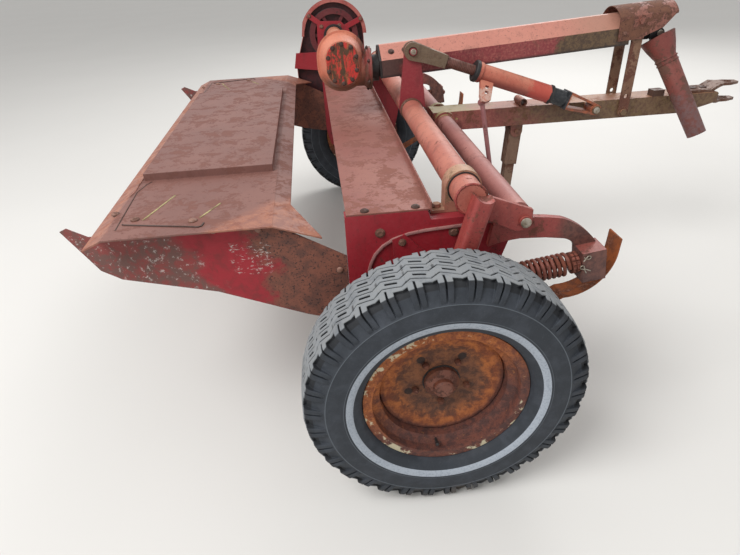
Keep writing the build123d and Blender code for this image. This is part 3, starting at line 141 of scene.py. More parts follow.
class Finish:
    """A procedural material on Object coordinates, with short hands for its nodes.

    A tone is the output of a node, three screen values or the name of a colour setting.
    """

    def __init__(self, name, metallic=0.0):
        self.name = name
        self.colours = bpy.context.scene.crimper_colours
        self.material = bpy.data.materials.new(name)
        self.material.use_nodes = True
        self.nodes = self.material.node_tree.nodes
        self.links = self.material.node_tree.links
        self.nodes.clear()
        self.shader = self.add("BsdfPrincipled", {"Metallic": metallic})
        self.add("OutputMaterial", {"Surface": self.shader.outputs["BSDF"]})
        coords = self.add("TexCoord")
        self.place = coords.outputs["Object"]
        self.x, self.y, self.z = self.add("SeparateXYZ", {"Vector": self.place}).outputs
        self.nx, self.ny, self.up = self.add("SeparateXYZ", {"Vector": coords.outputs["Normal"]}).outputs
        self.rounding = self.add("Bevel", {"Radius": EDGE_ROUND * MM}, samples=4).outputs["Normal"]

    def add(self, kind, inputs=None, **settings):
        """A node with its settings and the values or links of its inputs."""
        node = self.nodes.new("ShaderNode" + kind)
        for key, value in settings.items():
            setattr(node, key, value)
        for key, value in (inputs or {}).items():
            self.put(node.inputs[key], value)
        return node

    def put(self, socket, value):
        """Links an output to a socket, or sets its value, which is a tone where it is a colour."""
        if isinstance(value, bpy.types.NodeSocket):
            self.links.new(value, socket)
        elif socket.type == "RGBA":
            tone = getattr(self.colours, value) if isinstance(value, str) else srgb(*value)
            socket.default_value = (*tone, 1.0)
        else:
            socket.default_value = value

    def math(self, operation, a, b=0.0, clamp=False):
        return self.add("Math", {0: a, 1: b}, operation=operation, use_clamp=clamp).outputs[0]

    def plus(self, a, b):
        return self.math("ADD", a, b)

    def minus(self, a, b):
        return self.math("SUBTRACT", a, b)

    def times(self, value, *others):
        for other in others:
            value = self.math("MULTIPLY", value, other)
        return value

    def total(self, value, *others):
        """Sum of shares, held between 0 and 1."""
        for other in others:
            value = self.math("ADD", value, other, True)
        return value

    def rest(self, share):
        """What a share leaves of 1."""
        return self.math("SUBTRACT", 1.0, share, True)

    def ahead(self):
        """Distance in metres ahead of the axle."""
        return self.minus(self.x, AXLE_X * MM)

    def ragged(self, value, patch, reach):
        """A value that noise moves to and fro, so that a border in it comes out ragged."""
        return self.plus(value, self.times(self.minus(patch, 0.5), reach))

    def noise(self, size, shift=0.0, twist=0.0, detail=6.0, rough=0.7, stretch=(1.0, 1.0, 1.0)):
        """Noise whose features are about size millimetres across."""
        spot = self.add("Mapping", {"Vector": self.place, "Location": (shift, shift * 0.7, shift * 1.3),
                                    "Scale": stretch}).outputs["Vector"]
        return self.add("TexNoise", {"Vector": spot, "Scale": 1.0 / (size * MM), "Detail": detail,
                                     "Roughness": rough, "Distortion": twist}).outputs["Fac"]

    def ramp(self, value, low, high):
        """0 below low, 1 above high, smooth between."""
        return self.add("MapRange", {"Value": value, "From Min": low, "From Max": high},
                        interpolation_type="SMOOTHSTEP").outputs["Result"]

    def band(self, value, low, high, soft):
        """1 where value lies between low and high."""
        return self.times(self.ramp(value, low - soft, low + soft),
                          self.rest(self.ramp(value, high - soft, high + soft)))

    def mix(self, share, a, b):
        return self.add("Mix", {0: share, 6: a, 7: b}, data_type="RGBA").outputs[2]

    def fade(self, a, b, value, low, high):
        """Tone a where value is below low, tone b where it is above high."""
        return self.mix(self.ramp(value, low, high), a, b)

    def lay(self, base, tone, *shares):
        """A tone laid over the base by the product of its shares."""
        return self.mix(self.times(*shares), base, tone)

    def edges(self):
        """1 along the outer and inner edges of a solid."""
        flat = self.add("NewGeometry").outputs["Normal"]
        same = self.add("VectorMath", {0: self.rounding, 1: flat}, operation="DOT_PRODUCT").outputs["Value"]
        return self.ramp(self.rest(same), 0.02, 0.25)

    def along(self, point, way):
        """Distance in metres from a point along a direction."""
        run = self.add("VectorMath", {0: self.place, 1: way}, operation="DOT_PRODUCT").outputs["Value"]
        return self.minus(run, point.dot(way))

    def from_axis(self, x, z):
        """Distance in metres from a cross axis through x and z, given in millimetres."""
        flat = self.add("CombineXYZ", {0: self.minus(self.x, x * MM), 2: self.minus(self.z, z * MM)}).outputs[0]
        return self.add("VectorMath", {0: flat}, operation="LENGTH").outputs["Value"]

    def surface(self, base, roughness, height, depth):
        """Links colour, roughness and a bump of depth millimetres, and keeps the finish by its name."""
        bump = self.add("Bump", {"Distance": depth * MM, "Strength": BUMP_STRENGTH, "Height": height,
                                 "Normal": self.rounding})
        self.put(self.shader.inputs["Base Color"], base)
        self.put(self.shader.inputs["Roughness"], roughness)
        self.put(self.shader.inputs["Normal"], bump.outputs["Normal"])
        FINISHES[self.name] = self.material


def worn(f, paint, faded, rust, dark, rusted, fading, top, specks, edge, shift):
    """Old paint over rust, faded in patches and lighter on faces turned up, which is partly real fade and partly
    painted sunlight, worn at its edges and specked with pits: colour, roughness and height.
    """
    broad = f.noise(260, shift, detail=4, rough=0.6)
    middle = f.noise(62, shift + 3.1, 0.4, 7, 0.68)
    fine = f.noise(9, shift + 7.7)
    grain = f.noise(2.2, shift + 11, detail=3, rough=0.6)
    # the top share lays the faded tone on faces turned up: painted sunlight on top faces, along with real fade in
    # patches
    fade_and_top_light = f.total(f.times(f.ramp(broad, 0.36, 0.66), fading), f.times(f.ramp(f.up, 0.2, 0.95), top))
    skin = f.lay(f.mix(fade_and_top_light, paint, faded), faded, f.ramp(fine, 0.42, 0.7), 0.35)
    scale = f.lay(f.fade(dark, rust, middle, 0.35, 0.62), dark, f.ramp(grain, 0.5, 0.75), 0.4)
    patchy = f.total(f.times(middle, 0.72), f.times(fine, 0.28), f.times(f.edges(), edge, 0.22))
    level = 0.74 - 0.46 * rusted
    bare = f.ramp(patchy, level - 0.02, level + 0.045)
    pits = f.ramp(f.noise(5.5, shift + 19, detail=2, rough=0.5), 0.66 - 0.08 * specks, 0.7)
    dirt = f.ramp(f.noise(30, shift + 23, detail=5, stretch=(1, 1, 0.25)), 0.5, 0.75)
    base = f.lay(f.lay(f.mix(bare, skin, scale), dark, pits, specks), dark, dirt, 0.35)
    height = f.total(f.times(fine, 0.5), f.times(f.rest(bare), 0.35), f.times(grain, 0.15))
    return base, f.total(0.52, f.times(bare, 0.34)), height


# finish: paint, faded, rust and dark tone, share rusted, fading, top (faded tone on faces turned up, partly painted
# sunlight), specks, edge
WORN = {
    "salmon_tube": ((162, 84, 72), (190, 122, 104), "rust", "dark_rust", 0.3, 0.8, 0.45, 0.4, 0.5),
    "mauve_tube": ((146, 88, 84), (172, 116, 108), (112, 66, 60), "dark_rust", 0.3, 0.7, 0.4, 0.4, 0.4),
    "arm_paint": ((146, 58, 54), (170, 94, 82), (112, 62, 50), "dark_rust", 0.42, 0.4, 0.3, 0.6, 0.8),
    "clamp_paint": ((158, 96, 82), (178, 140, 112), (130, 104, 78), (72, 56, 46), 0.4, 0.8, 0.6, 0.5, 0.6),
    "post_paint": ((138, 42, 50), (158, 76, 74), (112, 60, 52), "dark_rust", 0.22, 0.35, 0.2, 0.3, 0.8),
    "deep_red": ("red", (156, 56, 62), (92, 44, 40), "dark_rust", 0.27, 0.3, 0.35, 0.35, 0.6),
    "flap_sheet": ((146, 92, 76), (164, 108, 88), (122, 78, 62), "dark_rust", 0.4, 0.6, 0.2, 0.5, 0.5),
    "cover_sheet": ((132, 76, 68), (148, 95, 83), (132, 83, 71), (110, 70, 62), 0.5, 0.7, 0.3, 0.5, 0.4),
    "hood_sheet": ((126, 74, 62), (152, 100, 86), (120, 80, 62), "dark_rust", 0.6, 0.5, 0.35, 0.7, 0.5),
    "skid_metal": ((132, 76, 50), (168, 104, 66), "orange_rust", "dark_rust", 0.66, 0.6, 0.1, 0.5, 0.4),
    "strap_paint": ((118, 82, 62), (146, 116, 90), (104, 64, 50), "dark_rust", 0.5, 0.5, 0.2, 0.5, 0.5),
    "stand_paint": ((116, 86, 68), (140, 112, 90), (108, 72, 56), "dark_rust", 0.5, 0.5, 0.2, 0.5, 0.5),
    "clevis_iron": ((104, 78, 64), (134, 104, 88), (100, 66, 50), "dark_rust", 0.55, 0.6, 0.35, 0.6, 0.5),
    "roll_metal": ((92, 60, 50), (112, 76, 62), (96, 58, 44), "dark_rust", 0.75, 0.4, 0.1, 0.6, 0.3),
    "spring_iron": ((112, 56, 46), (150, 86, 66), (118, 62, 44), (44, 30, 28), 0.55, 0.5, 0.4, 0.5, 0.5),
    "hub_rust": ((108, 62, 48), (138, 84, 62), (116, 68, 48), "dark_rust", 0.65, 0.4, 0.2, 0.6, 0.3),
    "sheave_maroon": ((92, 26, 34), (112, 60, 58), (62, 38, 36), (26, 20, 22), 0.35, 0.3, 0.2, 0.4, 0.7),
    "fastener_rust": ((118, 78, 64), (144, 106, 90), (100, 66, 52), (50, 36, 32), 0.5, 0.5, 0.3, 0.4, 0.3),
    "fastener_dark": ((62, 46, 42), (92, 66, 56), (74, 50, 42), (30, 24, 24), 0.5, 0.5, 0.3, 0.4, 0.3),
    "bead_paint": ((148, 96, 96), (168, 122, 116), (112, 74, 66), (66, 46, 44), 0.4, 0.6, 0.3, 0.4, 0.5),
    "greasy_black": ((30, 30, 32), (52, 48, 46), (60, 44, 38), (18, 18, 20), 0.4, 0.4, 0.3, 0.3, 0.3),
    "handle_mauve": ((142, 86, 88), (172, 122, 120), (110, 70, 66), "dark_rust", 0.35, 0.6, 0.3, 0.4, 0.3),
}
# finish: bright and dull tone, size of the spots, roughness, metallic, dirt, shift
SMOOTH = {
    "bright_pin": ("steel", (140, 128, 112), 3.0, 0.3, 0.85, 0.4, 0.0),
    "slot_light": ((184, 172, 124), (128, 110, 78), 5.0, 0.8, 0.0, 0.6, 9.0),
    "belt_black": ((44, 42, 42), (70, 64, 60), 8.0, 0.65, 0.0, 0.4, 6.0),
}


def smooth_finish(f, bright, dull, size, roughness, dirt, shift):
    """Bare metal, belt rubber or chaff, with dull patches."""
    fine = f.noise(size, shift + 4, detail=5)
    spots = f.noise(size * 5, shift, detail=5, rough=0.65)
    base = f.fade(bright, dull, spots, 0.5 - 0.25 * dirt, 0.75 - 0.25 * dirt)
    base = f.lay(base, dull, f.ramp(fine, 0.5, 0.7), 0.5)
    f.surface(base, f.total(roughness, f.times(fine, 0.35)), fine, 0.5)


def beam_finish(f):
    """Driveline beam: pale speckled roof, partly real fade and partly painted sunlight, sides deep red behind and
    olive brown in front, with painted shade laid dark grey green on the sides at the rear end and near black below.
    """
    x = f.ahead()
    # top share of 0.95: the roof takes the faded pink as painted sunlight, along with real fade
    base, rough, height = worn(f, (128, 44, 52), (204, 138, 120), (112, 66, 52), "dark_rust",
                               0.24, 0.1, 0.95, 0.5, 0.6, 27.0)
    patch = f.noise(70, 5.5, 0.5)
    roof = f.ramp(f.up, 0.3, 0.7)
    side = f.rest(roof)
    olive = f.fade((104, 82, 58), (74, 56, 44), f.noise(14, 2.0), 0.4, 0.62)
    base = f.lay(base, olive, f.ramp(f.ragged(x, patch, 0.5), 0.58, 0.68), side)
    # painted shade: the sides at the rear end are laid dark grey green
    rear = f.rest(f.ramp(f.plus(x, f.times(patch, 0.1)), 0.11, 0.15))
    base = f.lay(base, (50, 50, 44), rear, side, 0.8)
    # painted shade: the underside is laid near black
    underside = f.rest(f.ramp(f.minus(f.z, f.times(x, 0.064)), 0.893, 0.903))
    base = f.lay(base, (34, 28, 28), underside, 0.8)
    base = f.lay(base, (168, 128, 108), roof, f.ramp(x, 0.62, 0.8), 0.6)
    f.surface(base, rough, height, 1.0)


def bar_finish(f):
    """Drawbar: mossy roof behind, tan in front; sides red brown, olive toward the hitch; dark hook."""
    x = f.ahead()
    patch = f.noise(85, 3.5, 0.5)
    ragged = f.ragged(x, patch, 0.5)
    base, rough, height = worn(f, (132, 64, 60), (192, 126, 104), (116, 70, 54), "dark_rust",
                               0.42, 0.15, 0.8, 0.6, 0.5, 22.0)
    roof = f.ramp(f.up, 0.3, 0.7)
    olive = f.fade((112, 92, 64), (82, 60, 46), f.noise(12, 9.0), 0.4, 0.65)
    base = f.lay(base, olive, f.ramp(ragged, 0.38, 0.7), f.rest(roof), 0.9)
    tan = f.fade((178, 136, 102), (150, 108, 84), patch, 0.4, 0.6)
    base = f.lay(base, tan, f.ramp(ragged, 0.5, 0.8), roof, 0.85)
    base = f.lay(base, "moss", f.rest(f.ramp(ragged, 0.28, 0.46)), roof, 0.85)
    hook = f.times(f.band(x, 1.066, 1.114, 0.001), f.ramp(f.z, 0.7485, 0.7495))
    f.surface(f.lay(base, (70, 46, 38), hook, 0.85), rough, height, 1.2)


def case_finish(f):
    """Gearbox: streaked and mossy cover, salmon flanks that darken to the beam, painted highlights on its edges away
    from the beam, black neck.
    """
    x = f.ahead()
    base, rough, height = worn(f, (196, 112, 88), (214, 142, 116), (150, 84, 60), (84, 48, 40),
                               0.26, 0.5, 0.3, 0.3, 0.4, 41.0)
    patch = f.noise(40, 8.0, 0.6, stretch=(2.2, 1, 0.5))
    blot = f.noise(36, 15.0, 0.5, rough=0.72, stretch=(1.9, 1, 0.6))
    toward_beam = f.ramp(f.ragged(x, patch, 0.08), -0.105, -0.06)
    base = f.lay(base, f.fade((126, 48, 48), (66, 54, 44), blot, 0.4, 0.6), toward_beam, 0.9)
    low = f.rest(f.ramp(f.plus(f.z, f.times(patch, 0.06)), 0.9, 0.95))
    base = f.lay(base, (70, 58, 42), low, 0.75)
    mottle = f.fade((158, 92, 58), (196, 52, 46), patch, 0.4, 0.5)
    mottle = f.lay(mottle, (58, 54, 34), f.ramp(blot, 0.46, 0.53), 0.92)
    mottle = f.lay(mottle, (110, 62, 44), f.ramp(f.noise(8, 31.0, detail=5), 0.52, 0.62), 0.7)
    base = f.lay(base, mottle, f.rest(f.ramp(f.y, -0.0775, -0.0765)))
    # painted highlight: a pale tone along the edges, away from the beam
    base = f.lay(base, (206, 170, 140), f.edges(), f.rest(toward_beam), 0.6)
    base = f.lay(base, (26, 26, 26), f.ramp(x, -0.0405, -0.0385), 0.95)
    f.surface(base, rough, height, 2.0)


def cross_tube_finish(f):
    """Cross tube: salmon orange, its ring at the gearbox bright pink, its end at the bracket black."""
    base, rough, height = worn(f, (186, 104, 80), (212, 142, 114), (138, 80, 62), "dark_rust",
                               0.28, 0.6, 0.4, 0.4, 0.5, 19.0)
    base = f.lay(base, (222, 104, 120), f.band(f.y, 0.064, 0.0765, 0.0005), 0.9)
    base = f.lay(base, (44, 34, 34), f.ramp(f.y, 0.896, 0.899), 0.9)
    f.surface(base, rough, height, 1.0)


def guard_finish(f):
    """Belt guard: faded outside, maroon inside its pan, darkened there and on its back wall facing the camera by
    painted shade.
    """
    base, rough, height = worn(f, (150, 62, 60), (198, 132, 120), "rust", "dark_rust",
                               0.28, 0.6, 0.6, 0.4, 0.7, 36.0)
    # maroon paint inside the pan with blotches of painted shade
    inner = f.fade("maroon", (42, 18, 22), f.noise(40, 12.0), 0.4, 0.65)
    out_x = f.times(f.nx, f.minus(f.x, (AXLE_X + GEAR_X) * MM))
    out_z = f.times(f.up, f.minus(f.z, GEAR_Z * MM))
    outward = f.ramp(f.plus(out_x, out_z), -0.01, 0.0)
    # painted shade: the back wall, which faces the camera, is laid in the dark inner tone
    back_wall_shade = f.times(f.ramp(f.y, 0.917, 0.918), f.ramp(f.times(f.ny, -1.0), 0.4, 0.6))
    f.surface(f.lay(base, inner, f.math("MAXIMUM", f.rest(outward), back_wall_shade)), rough, height, 1.0)


def gooseneck_finish(f):
    """Goosenecks: worn red behind, brown toward the spring block."""
    base, rough, height = worn(f, (146, 60, 56), (168, 92, 80), (114, 66, 54), "dark_rust",
                               0.42, 0.4, 0.3, 0.6, 0.7, 65.0)
    brown = f.fade((108, 70, 60), (74, 48, 44), f.noise(18, 7.0), 0.38, 0.62)
    front = f.ramp(f.ragged(f.ahead(), f.noise(50, 2.5, 0.5), 0.12), 0.30, 0.37)
    below = f.minus(0.95, f.times(f.ramp(f.up, 0.4, 0.8), 0.5))
    f.surface(f.lay(base, brown, front, below), rough, height, 1.1)


def shield_finish(f):
    """Shaft guard: maroon bell, red brown tube that turns grey purple toward its end."""
    base, rough, height = worn(f, (122, 58, 52), (138, 80, 68), (106, 72, 60), "dark_rust",
                               0.5, 0.4, 0.3, 0.5, 0.5, 73.0)
    lower = f.ramp(f.ragged(f.along(PTO, PTO_WAY), f.noise(60, 4.0, 0.5), 0.3), 0.2, 0.32)
    grey = f.fade((106, 82, 82), (108, 62, 54), f.noise(15, 6.0), 0.42, 0.62)
    f.surface(f.lay(base, grey, lower, 0.85), rough, height, 1.0)


def deck_finish(f):
    """Deck: smooth brown mauve sheet in a tone darkened to shade, with painted sunlight in tan along its rear lip
    and on the corners of its front edge.
    """
    base, rough, height = worn(f, (114, 77, 70), (132, 90, 80), (120, 79, 69), (99, 66, 60),
                               0.5, 0.6, 0.2, 0.35, 0.5, 21.0)
    x = f.ragged(f.ahead(), f.noise(60, 4.0, 0.4), 0.05)
    # painted sunlight: tan along the rear lip and on the front corners; the sheet's base tone is its tone in shade
    lip = f.rest(f.ramp(x, -0.805, -0.786))
    front = f.ramp(f.plus(x, f.minus(f.math("ABSOLUTE", f.y), 0.72)), -0.39, -0.33)
    tan = f.fade((172, 114, 90), (140, 90, 76), f.noise(24, 6.0), 0.38, 0.64)
    f.surface(f.lay(base, tan, f.total(lip, front), 0.75), rough, height, 1.1)


def jack_finish(f):
    """Jack tube: painted shade on its underside, red before its black sleeve, brown clevis, pale and worn above the
    handle.
    """
    run = f.along(POST_EYE, JACK_WAY)
    base, rough, height = worn(f, (166, 72, 56), (206, 132, 108), (128, 70, 52), "dark_rust",
                               0.3, 0.5, 0.6, 0.4, 0.5, 53.0)
    patch = f.noise(26, 2.0, detail=5, rough=0.65)
    # painted shade: faces turned down are laid darker red
    base = f.lay(base, (124, 50, 46), f.rest(f.ramp(f.up, -0.55, 0.15)), 0.7)
    base = f.lay(base, (186, 62, 52), f.band(f.ragged(run, patch, 0.075), 0.46, 0.6, 0.012), 0.7)
    sleeve = f.ramp(f.ragged(run, patch, 0.03), 0.542, 0.545)
    clevis = f.ramp(run, 0.6215, 0.6225)
    black = f.fade((30, 33, 37), (66, 66, 68), f.noise(12, 6.0, detail=5), 0.45, 0.7)
    base = f.lay(base, black, sleeve, f.rest(clevis))
    base = f.lay(base, f.fade((162, 92, 58), (104, 70, 54), f.noise(20, 8.0), 0.4, 0.6), clevis, 0.8)
    low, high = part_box("jack_handle")
    handle = f.times(f.band(f.x, low.x - 0.03, low.x + 0.06, 0.004),
                     f.band(f.z, high.z - 0.01, high.z + 0.028, 0.004))
    base = f.lay(base, (204, 176, 162), handle, f.ramp(f.noise(14, 5.0, detail=5), 0.4, 0.5), 0.75)
    f.surface(base, rough, height, 1.0)


def screw_finish(f):
    """Jack screw: dark greased thread, its eye brown."""
    run = f.along(POST_EYE, JACK_WAY)
    threaded = f.ramp(run, 0.127, 0.13)
    wave = f.math("SINE", f.times(run, 2 * math.pi / (SCREW_PITCH * MM)))
    groove = f.times(threaded, f.ramp(wave, -0.2, 0.7))
    base, rough, height = worn(f, (104, 60, 50), (128, 80, 66), (100, 60, 48), "dark_rust",
                               0.5, 0.4, 0.3, 0.3, 0.2, 57.0)
    eye = worn(f, (104, 86, 68), (136, 116, 94), (98, 72, 56), "dark_rust", 0.42, 0.5, 0.3, 0.5, 0.4, 59.0)[0]
    base = f.mix(threaded, eye, f.lay(base, (52, 34, 30), groove, 0.5))
    f.surface(base, rough, f.math("SUBTRACT", height, f.times(groove, 0.9), True), 1.6)


def wing_finish(f):
    """Wing sheet: brown with dark specks in front, red in the middle, mottled and smeared behind."""
    x = f.ahead()
    middle = f.noise(38, 5.0, 0.4, 7)
    fine = f.noise(7, 9.0, detail=5)
    where = f.ragged(x, f.noise(150, 2.0, 0.6, rough=0.65), 0.42)
    red = f.fade("red", (122, 40, 42), middle, 0.4, 0.7)
    brown = f.fade((92, 56, 46), (124, 74, 58), middle, 0.38, 0.62)
    brown = f.lay(brown, (44, 30, 30), f.ramp(f.noise(6, 4.0, detail=3, rough=0.6), 0.56, 0.62), 0.8)
    behind = f.fade((128, 58, 54), (104, 72, 66), middle, 0.42, 0.56)
    behind = f.lay(behind, "smear", f.ramp(f.noise(16, 13.0, detail=8, rough=0.75), 0.56, 0.64), 0.75)
    base = f.fade(red, brown, where, -0.44, -0.37)
    tilted = f.plus(where, f.times(f.minus(f.z, 0.62), 0.8))
    base = f.fade(base, behind, tilted, -0.57, -0.66)
    splash = f.times(f.band(x, -0.53, -0.38, 0.03), f.band(f.z, 0.58, 0.70, 0.02),
                     f.noise(12, 21.0, 0.8, rough=0.75, stretch=(0.6, 0.6, 1.4)))
    base = f.lay(base, "smear", f.ramp(splash, 0.55, 0.62), 0.85)
    base = f.lay(base, (88, 52, 44), f.edges(), 0.5)
    height = f.total(f.times(middle, 0.6), f.times(fine, 0.4))
    f.surface(base, f.total(0.5, f.times(middle, 0.45)), height, 1.5)


def wheel_finish(f):
    """Rim: orange and purple rust, the orange laid as painted sunlight on the upper rear and the purple as painted
    shade on the lower front, brown dish with painted shade as dark spots for the holes above the nuts, cream left on
    the flange.
    """
    reach = f.from_axis(AXLE_X, AXLE_Z)
    broad = f.noise(90, 1.0, 0.5, 5, 0.6)
    middle = f.noise(24, 6.0, 0.3, 7)
    fine = f.noise(4.5, 12.0, detail=5)
    orange = f.fade((126, 64, 34), (184, 108, 52), middle, 0.38, 0.66)
    purple = f.fade((78, 50, 46), (112, 66, 54), middle, 0.4, 0.6)
    # painted light: orange rust on the upper rear of the rim as painted sunlight, purple rust on the lower front as
    # painted shade
    lean = f.minus(f.times(f.minus(f.z, AXLE_Z * MM), 1.4), f.times(f.ahead(), 0.6))
    base = f.fade(purple, orange, f.ragged(lean, broad, 0.5), -0.1, 0.12)
    base = f.lay(base, "dark_rust", f.ramp(fine, 0.52, 0.66), 0.6)
    base = f.lay(base, (198, 134, 76), f.ramp(f.noise(11, 17.0), 0.6, 0.72), 0.5)
    base = f.lay(base, orange, f.band(reach, 0.104, 0.148, 0.01), 0.75)
    dish = f.rest(f.ramp(f.ragged(reach, middle, 0.09), 0.098, 0.138))
    base = f.lay(base, f.fade((74, 49, 38), (122, 78, 52), middle, 0.38, 0.62), dish, 0.85)
    # painted shade: a dark spot for each hole in the dish
    for turn in HOLE_TURNS:
        hole_shade = f.from_axis(AXLE_X + HOLE_REACH * math.cos(turn), AXLE_Z + HOLE_REACH * math.sin(turn))
        base = f.lay(base, (34, 24, 22), f.rest(f.ramp(hole_shade, 0.0095, 0.0125)), 0.9)
    left = f.ramp(f.total(f.times(broad, 0.6), f.times(middle, 0.4)), 0.53, 0.56)
    base = f.lay(base, "cream", f.ramp(reach, 0.1905, 0.1935), left, 0.85)
    height = f.total(f.times(middle, 0.5), f.times(fine, 0.5))
    f.surface(base, f.total(0.55, f.times(fine, 0.4)), height, 2.2)


def tyre_finish(f):
    """Tyre: dusty tread over grooves darkened by painted shade, blue-black side walls with moulded rings, and the
    pale ring.
    """
    sizes = bpy.context.scene.crimper_sizes
    reach = f.from_axis(AXLE_X, AXLE_Z)
    aside = f.minus(f.math("ABSOLUTE", f.y), WHEEL_Y * MM)
    fine = f.noise(5, 3.0)
    middle = f.noise(45, 8.0, 0.3, rough=0.65)
    wall = f.lay(f.fade("rubber", (54, 59, 67), middle, 0.4, 0.7), (96, 100, 104), f.ramp(fine, 0.52, 0.8), 0.35)
    rings = f.total(f.band(reach, 0.2985, 0.3008, 0.0004), f.band(reach, 0.2555, 0.2568, 0.0004))
    wall = f.lay(wall, (112, 120, 128), rings, 0.5)
    dusty = f.fade("tread", (130, 133, 135), f.noise(18, 5.0, detail=5, rough=0.65), 0.35, 0.65)
    dusty = f.lay(dusty, (144, 142, 137), f.ramp(fine, 0.45, 0.75), 0.35)
    dusty = f.lay(dusty, (84, 88, 94), f.ramp(middle, 0.5, 0.7), 0.45)
    crown = f.plus(reach, f.times(aside, aside, 0.7))
    base = f.fade(wall, dusty, crown, 0.3520, 0.3536)
    tread_zone = f.rest(f.ramp(f.math("ABSOLUTE", aside), 0.072, 0.082))
    # painted shade: the groove floors are laid near black
    base = f.lay(base, (24, 26, 30), f.band(crown, 0.335, 0.3522, 0.0012), tread_zone, 0.9)
    white = f.times(f.band(reach, sizes.white_in, sizes.white_out, 0.0005), f.ramp(aside, 0.03, 0.04))
    base = f.lay(base, f.fade("whitewall", (132, 142, 156), fine, 0.45, 0.75), white, 0.92)
    mud = f.times(f.ramp(f.minus(0.06, f.z), -0.02, 0.05), f.ramp(middle, 0.45, 0.6))
    base = f.lay(base, (104, 90, 74), mud, 0.4)
    f.surface(base, f.total(0.6, f.times(fine, 0.3)), fine, 0.25)


SCREW_PITCH = 6.5
# holes in the wheel's dish, laid as dark spots of painted shade: distance from the axle, turns
HOLE_REACH = 89
HOLE_TURNS = tuple(math.radians(turn) for turn in (54, 126, 198))
OWN = {
    "beam_paint": beam_finish, "mossy_bar": bar_finish, "gear_case": case_finish, "cross_tube": cross_tube_finish,
    "guard_sheet": guard_finish, "gooseneck_paint": gooseneck_finish, "shield_paint": shield_finish,
    "deck_paint": deck_finish, "jack_paint": jack_finish, "screw_thread": screw_finish,
    "wing_sheet": wing_finish, "rim_rust": wheel_finish, "tyre_rubber": tyre_finish,
}
# finish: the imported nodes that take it; a name with _ at its end is the right and the left one
NODE_FINISH = {
    "tyre_rubber": ("tyre_",), "rim_rust": ("wheel_rim_",), "hub_rust": ("wheel_hub_",),
    "arm_paint": ("wheel_arm_", "hinge_bars"), "clamp_paint": ("tube_clamps",),
    "salmon_tube": ("axle_tube", "cross_rail"), "deep_red": ("end_plate_", "roll_bearings", "guard_bracket"),
    "spring_iron": ("roll_springs",), "gooseneck_paint": ("gooseneck_",), "skid_metal": ("skid_shoes",),
    "wing_sheet": ("side_wing_",), "deck_paint": ("rear_deck",), "cover_sheet": ("front_cover",),
    "roll_metal": ("upper_roll", "lower_roll"), "sheave_maroon": ("drive_sheave",), "belt_black": ("drive_belt",),
    "guard_sheet": ("belt_guard",), "cross_tube": ("cross_shaft_tube",), "gear_case": ("gearbox",),
    "beam_paint": ("driveline_beam",), "hood_sheet": ("driveline_hood",), "strap_paint": ("beam_strap",),
    "greasy_black": ("joint_yoke", "drive_shaft"), "shield_paint": ("shaft_shield",), "mauve_tube": ("draw_tube",),
    "mossy_bar": ("draw_beam",), "stand_paint": ("parking_stand",), "clevis_iron": ("hitch_clevis",),
    "post_paint": ("lift_post",), "screw_thread": ("jack_screw",), "jack_paint": ("jack_tube",),
    "handle_mauve": ("jack_handle",),
}


def coat(piece, finish):
    """Gives a piece one material."""
    piece.data.materials.clear()
    piece.data.materials.append(finish)


class CRIMPER_OT_finishes(bpy.types.Operator):
    """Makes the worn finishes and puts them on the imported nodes"""
    bl_idname = "crimper.finishes"
    bl_label = "Finishes"

    def execute(self, context):
        for i, (name, row) in enumerate(WORN.items()):
            f = Finish(name)
            f.surface(*worn(f, *row, shift=4.0 * i + 1.0), 1.1)
        for name, (bright, dull, size, roughness, metallic, dirt, shift) in SMOOTH.items():
            smooth_finish(Finish(name, metallic), bright, dull, size, roughness, dirt, shift)
        for name, lay_on in OWN.items():
            lay_on(Finish(name))
        for finish, nodes in NODE_FINISH.items():
            for node in nodes:
                for part in [node + side for side, _ in SIDES] if node.endswith("_") else [node]:
                    coat(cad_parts[part], FINISHES[finish])
        return {"FINISHED"}


# Modelling helpers

MIRROR = Matrix.Scale(-1, 4, (0, 1, 0))


def select(*pieces):
    """Leaves only these pieces selected, the first one active."""
    bpy.ops.object.select_all(action="DESELECT")
    for piece in pieces:
        piece.select_set(True)
    bpy.context.view_layer.objects.active = pieces[0]


def start(shape, name, **sizes):
    """Adds a primitive alone in the selection."""
    bpy.ops.object.select_all(action="DESELECT")
    getattr(bpy.ops.mesh, "primitive_" + shape + "_add")(**sizes)
    piece = bpy.context.object
    piece.name = name
    return piece


def edit(kind="FACE", action="SELECT"):
    bpy.ops.object.mode_set(mode="EDIT")
    bpy.ops.mesh.select_mode(type=kind)
    bpy.ops.mesh.select_all(action=action)


def leave_edit():
    bpy.ops.object.mode_set(mode="OBJECT")


def pick_faces(piece, test):
    """Enters edit mode with only the faces selected whose centre and normal pass the test."""
    edit(action="DESELECT")
    leave_edit()
    for face in piece.data.polygons:
        face.select = test(face.center, face.normal)
    bpy.ops.object.mode_set(mode="EDIT")


def close_up(threshold=0.005):
    """Merges points within so many millimetres, turns the faces outward and leaves edit mode."""
    bpy.ops.mesh.select_all(action="SELECT")
    bpy.ops.mesh.remove_doubles(threshold=threshold * MM)
    bpy.ops.mesh.normals_make_consistent(inside=False)
    leave_edit()


def apply_modifier(piece, kind, **settings):
    select(piece)
    bpy.ops.object.modifier_add(type=kind)
    modifier = piece.modifiers[-1]
    for key, value in settings.items():
        setattr(modifier, key, value)
    bpy.ops.object.modifier_apply(modifier=modifier.name)


def round_edges(piece, width, segments, angle):
    apply_modifier(piece, "BEVEL", width=width * MM, segments=segments, limit_method="ANGLE",
                   angle_limit=math.radians(angle))


def join(name, parts):
    select(*parts)
    if len(parts) > 1:
        bpy.ops.object.join()
    piece = bpy.context.object
    piece.name = name
    piece.data.name = name
    return piece


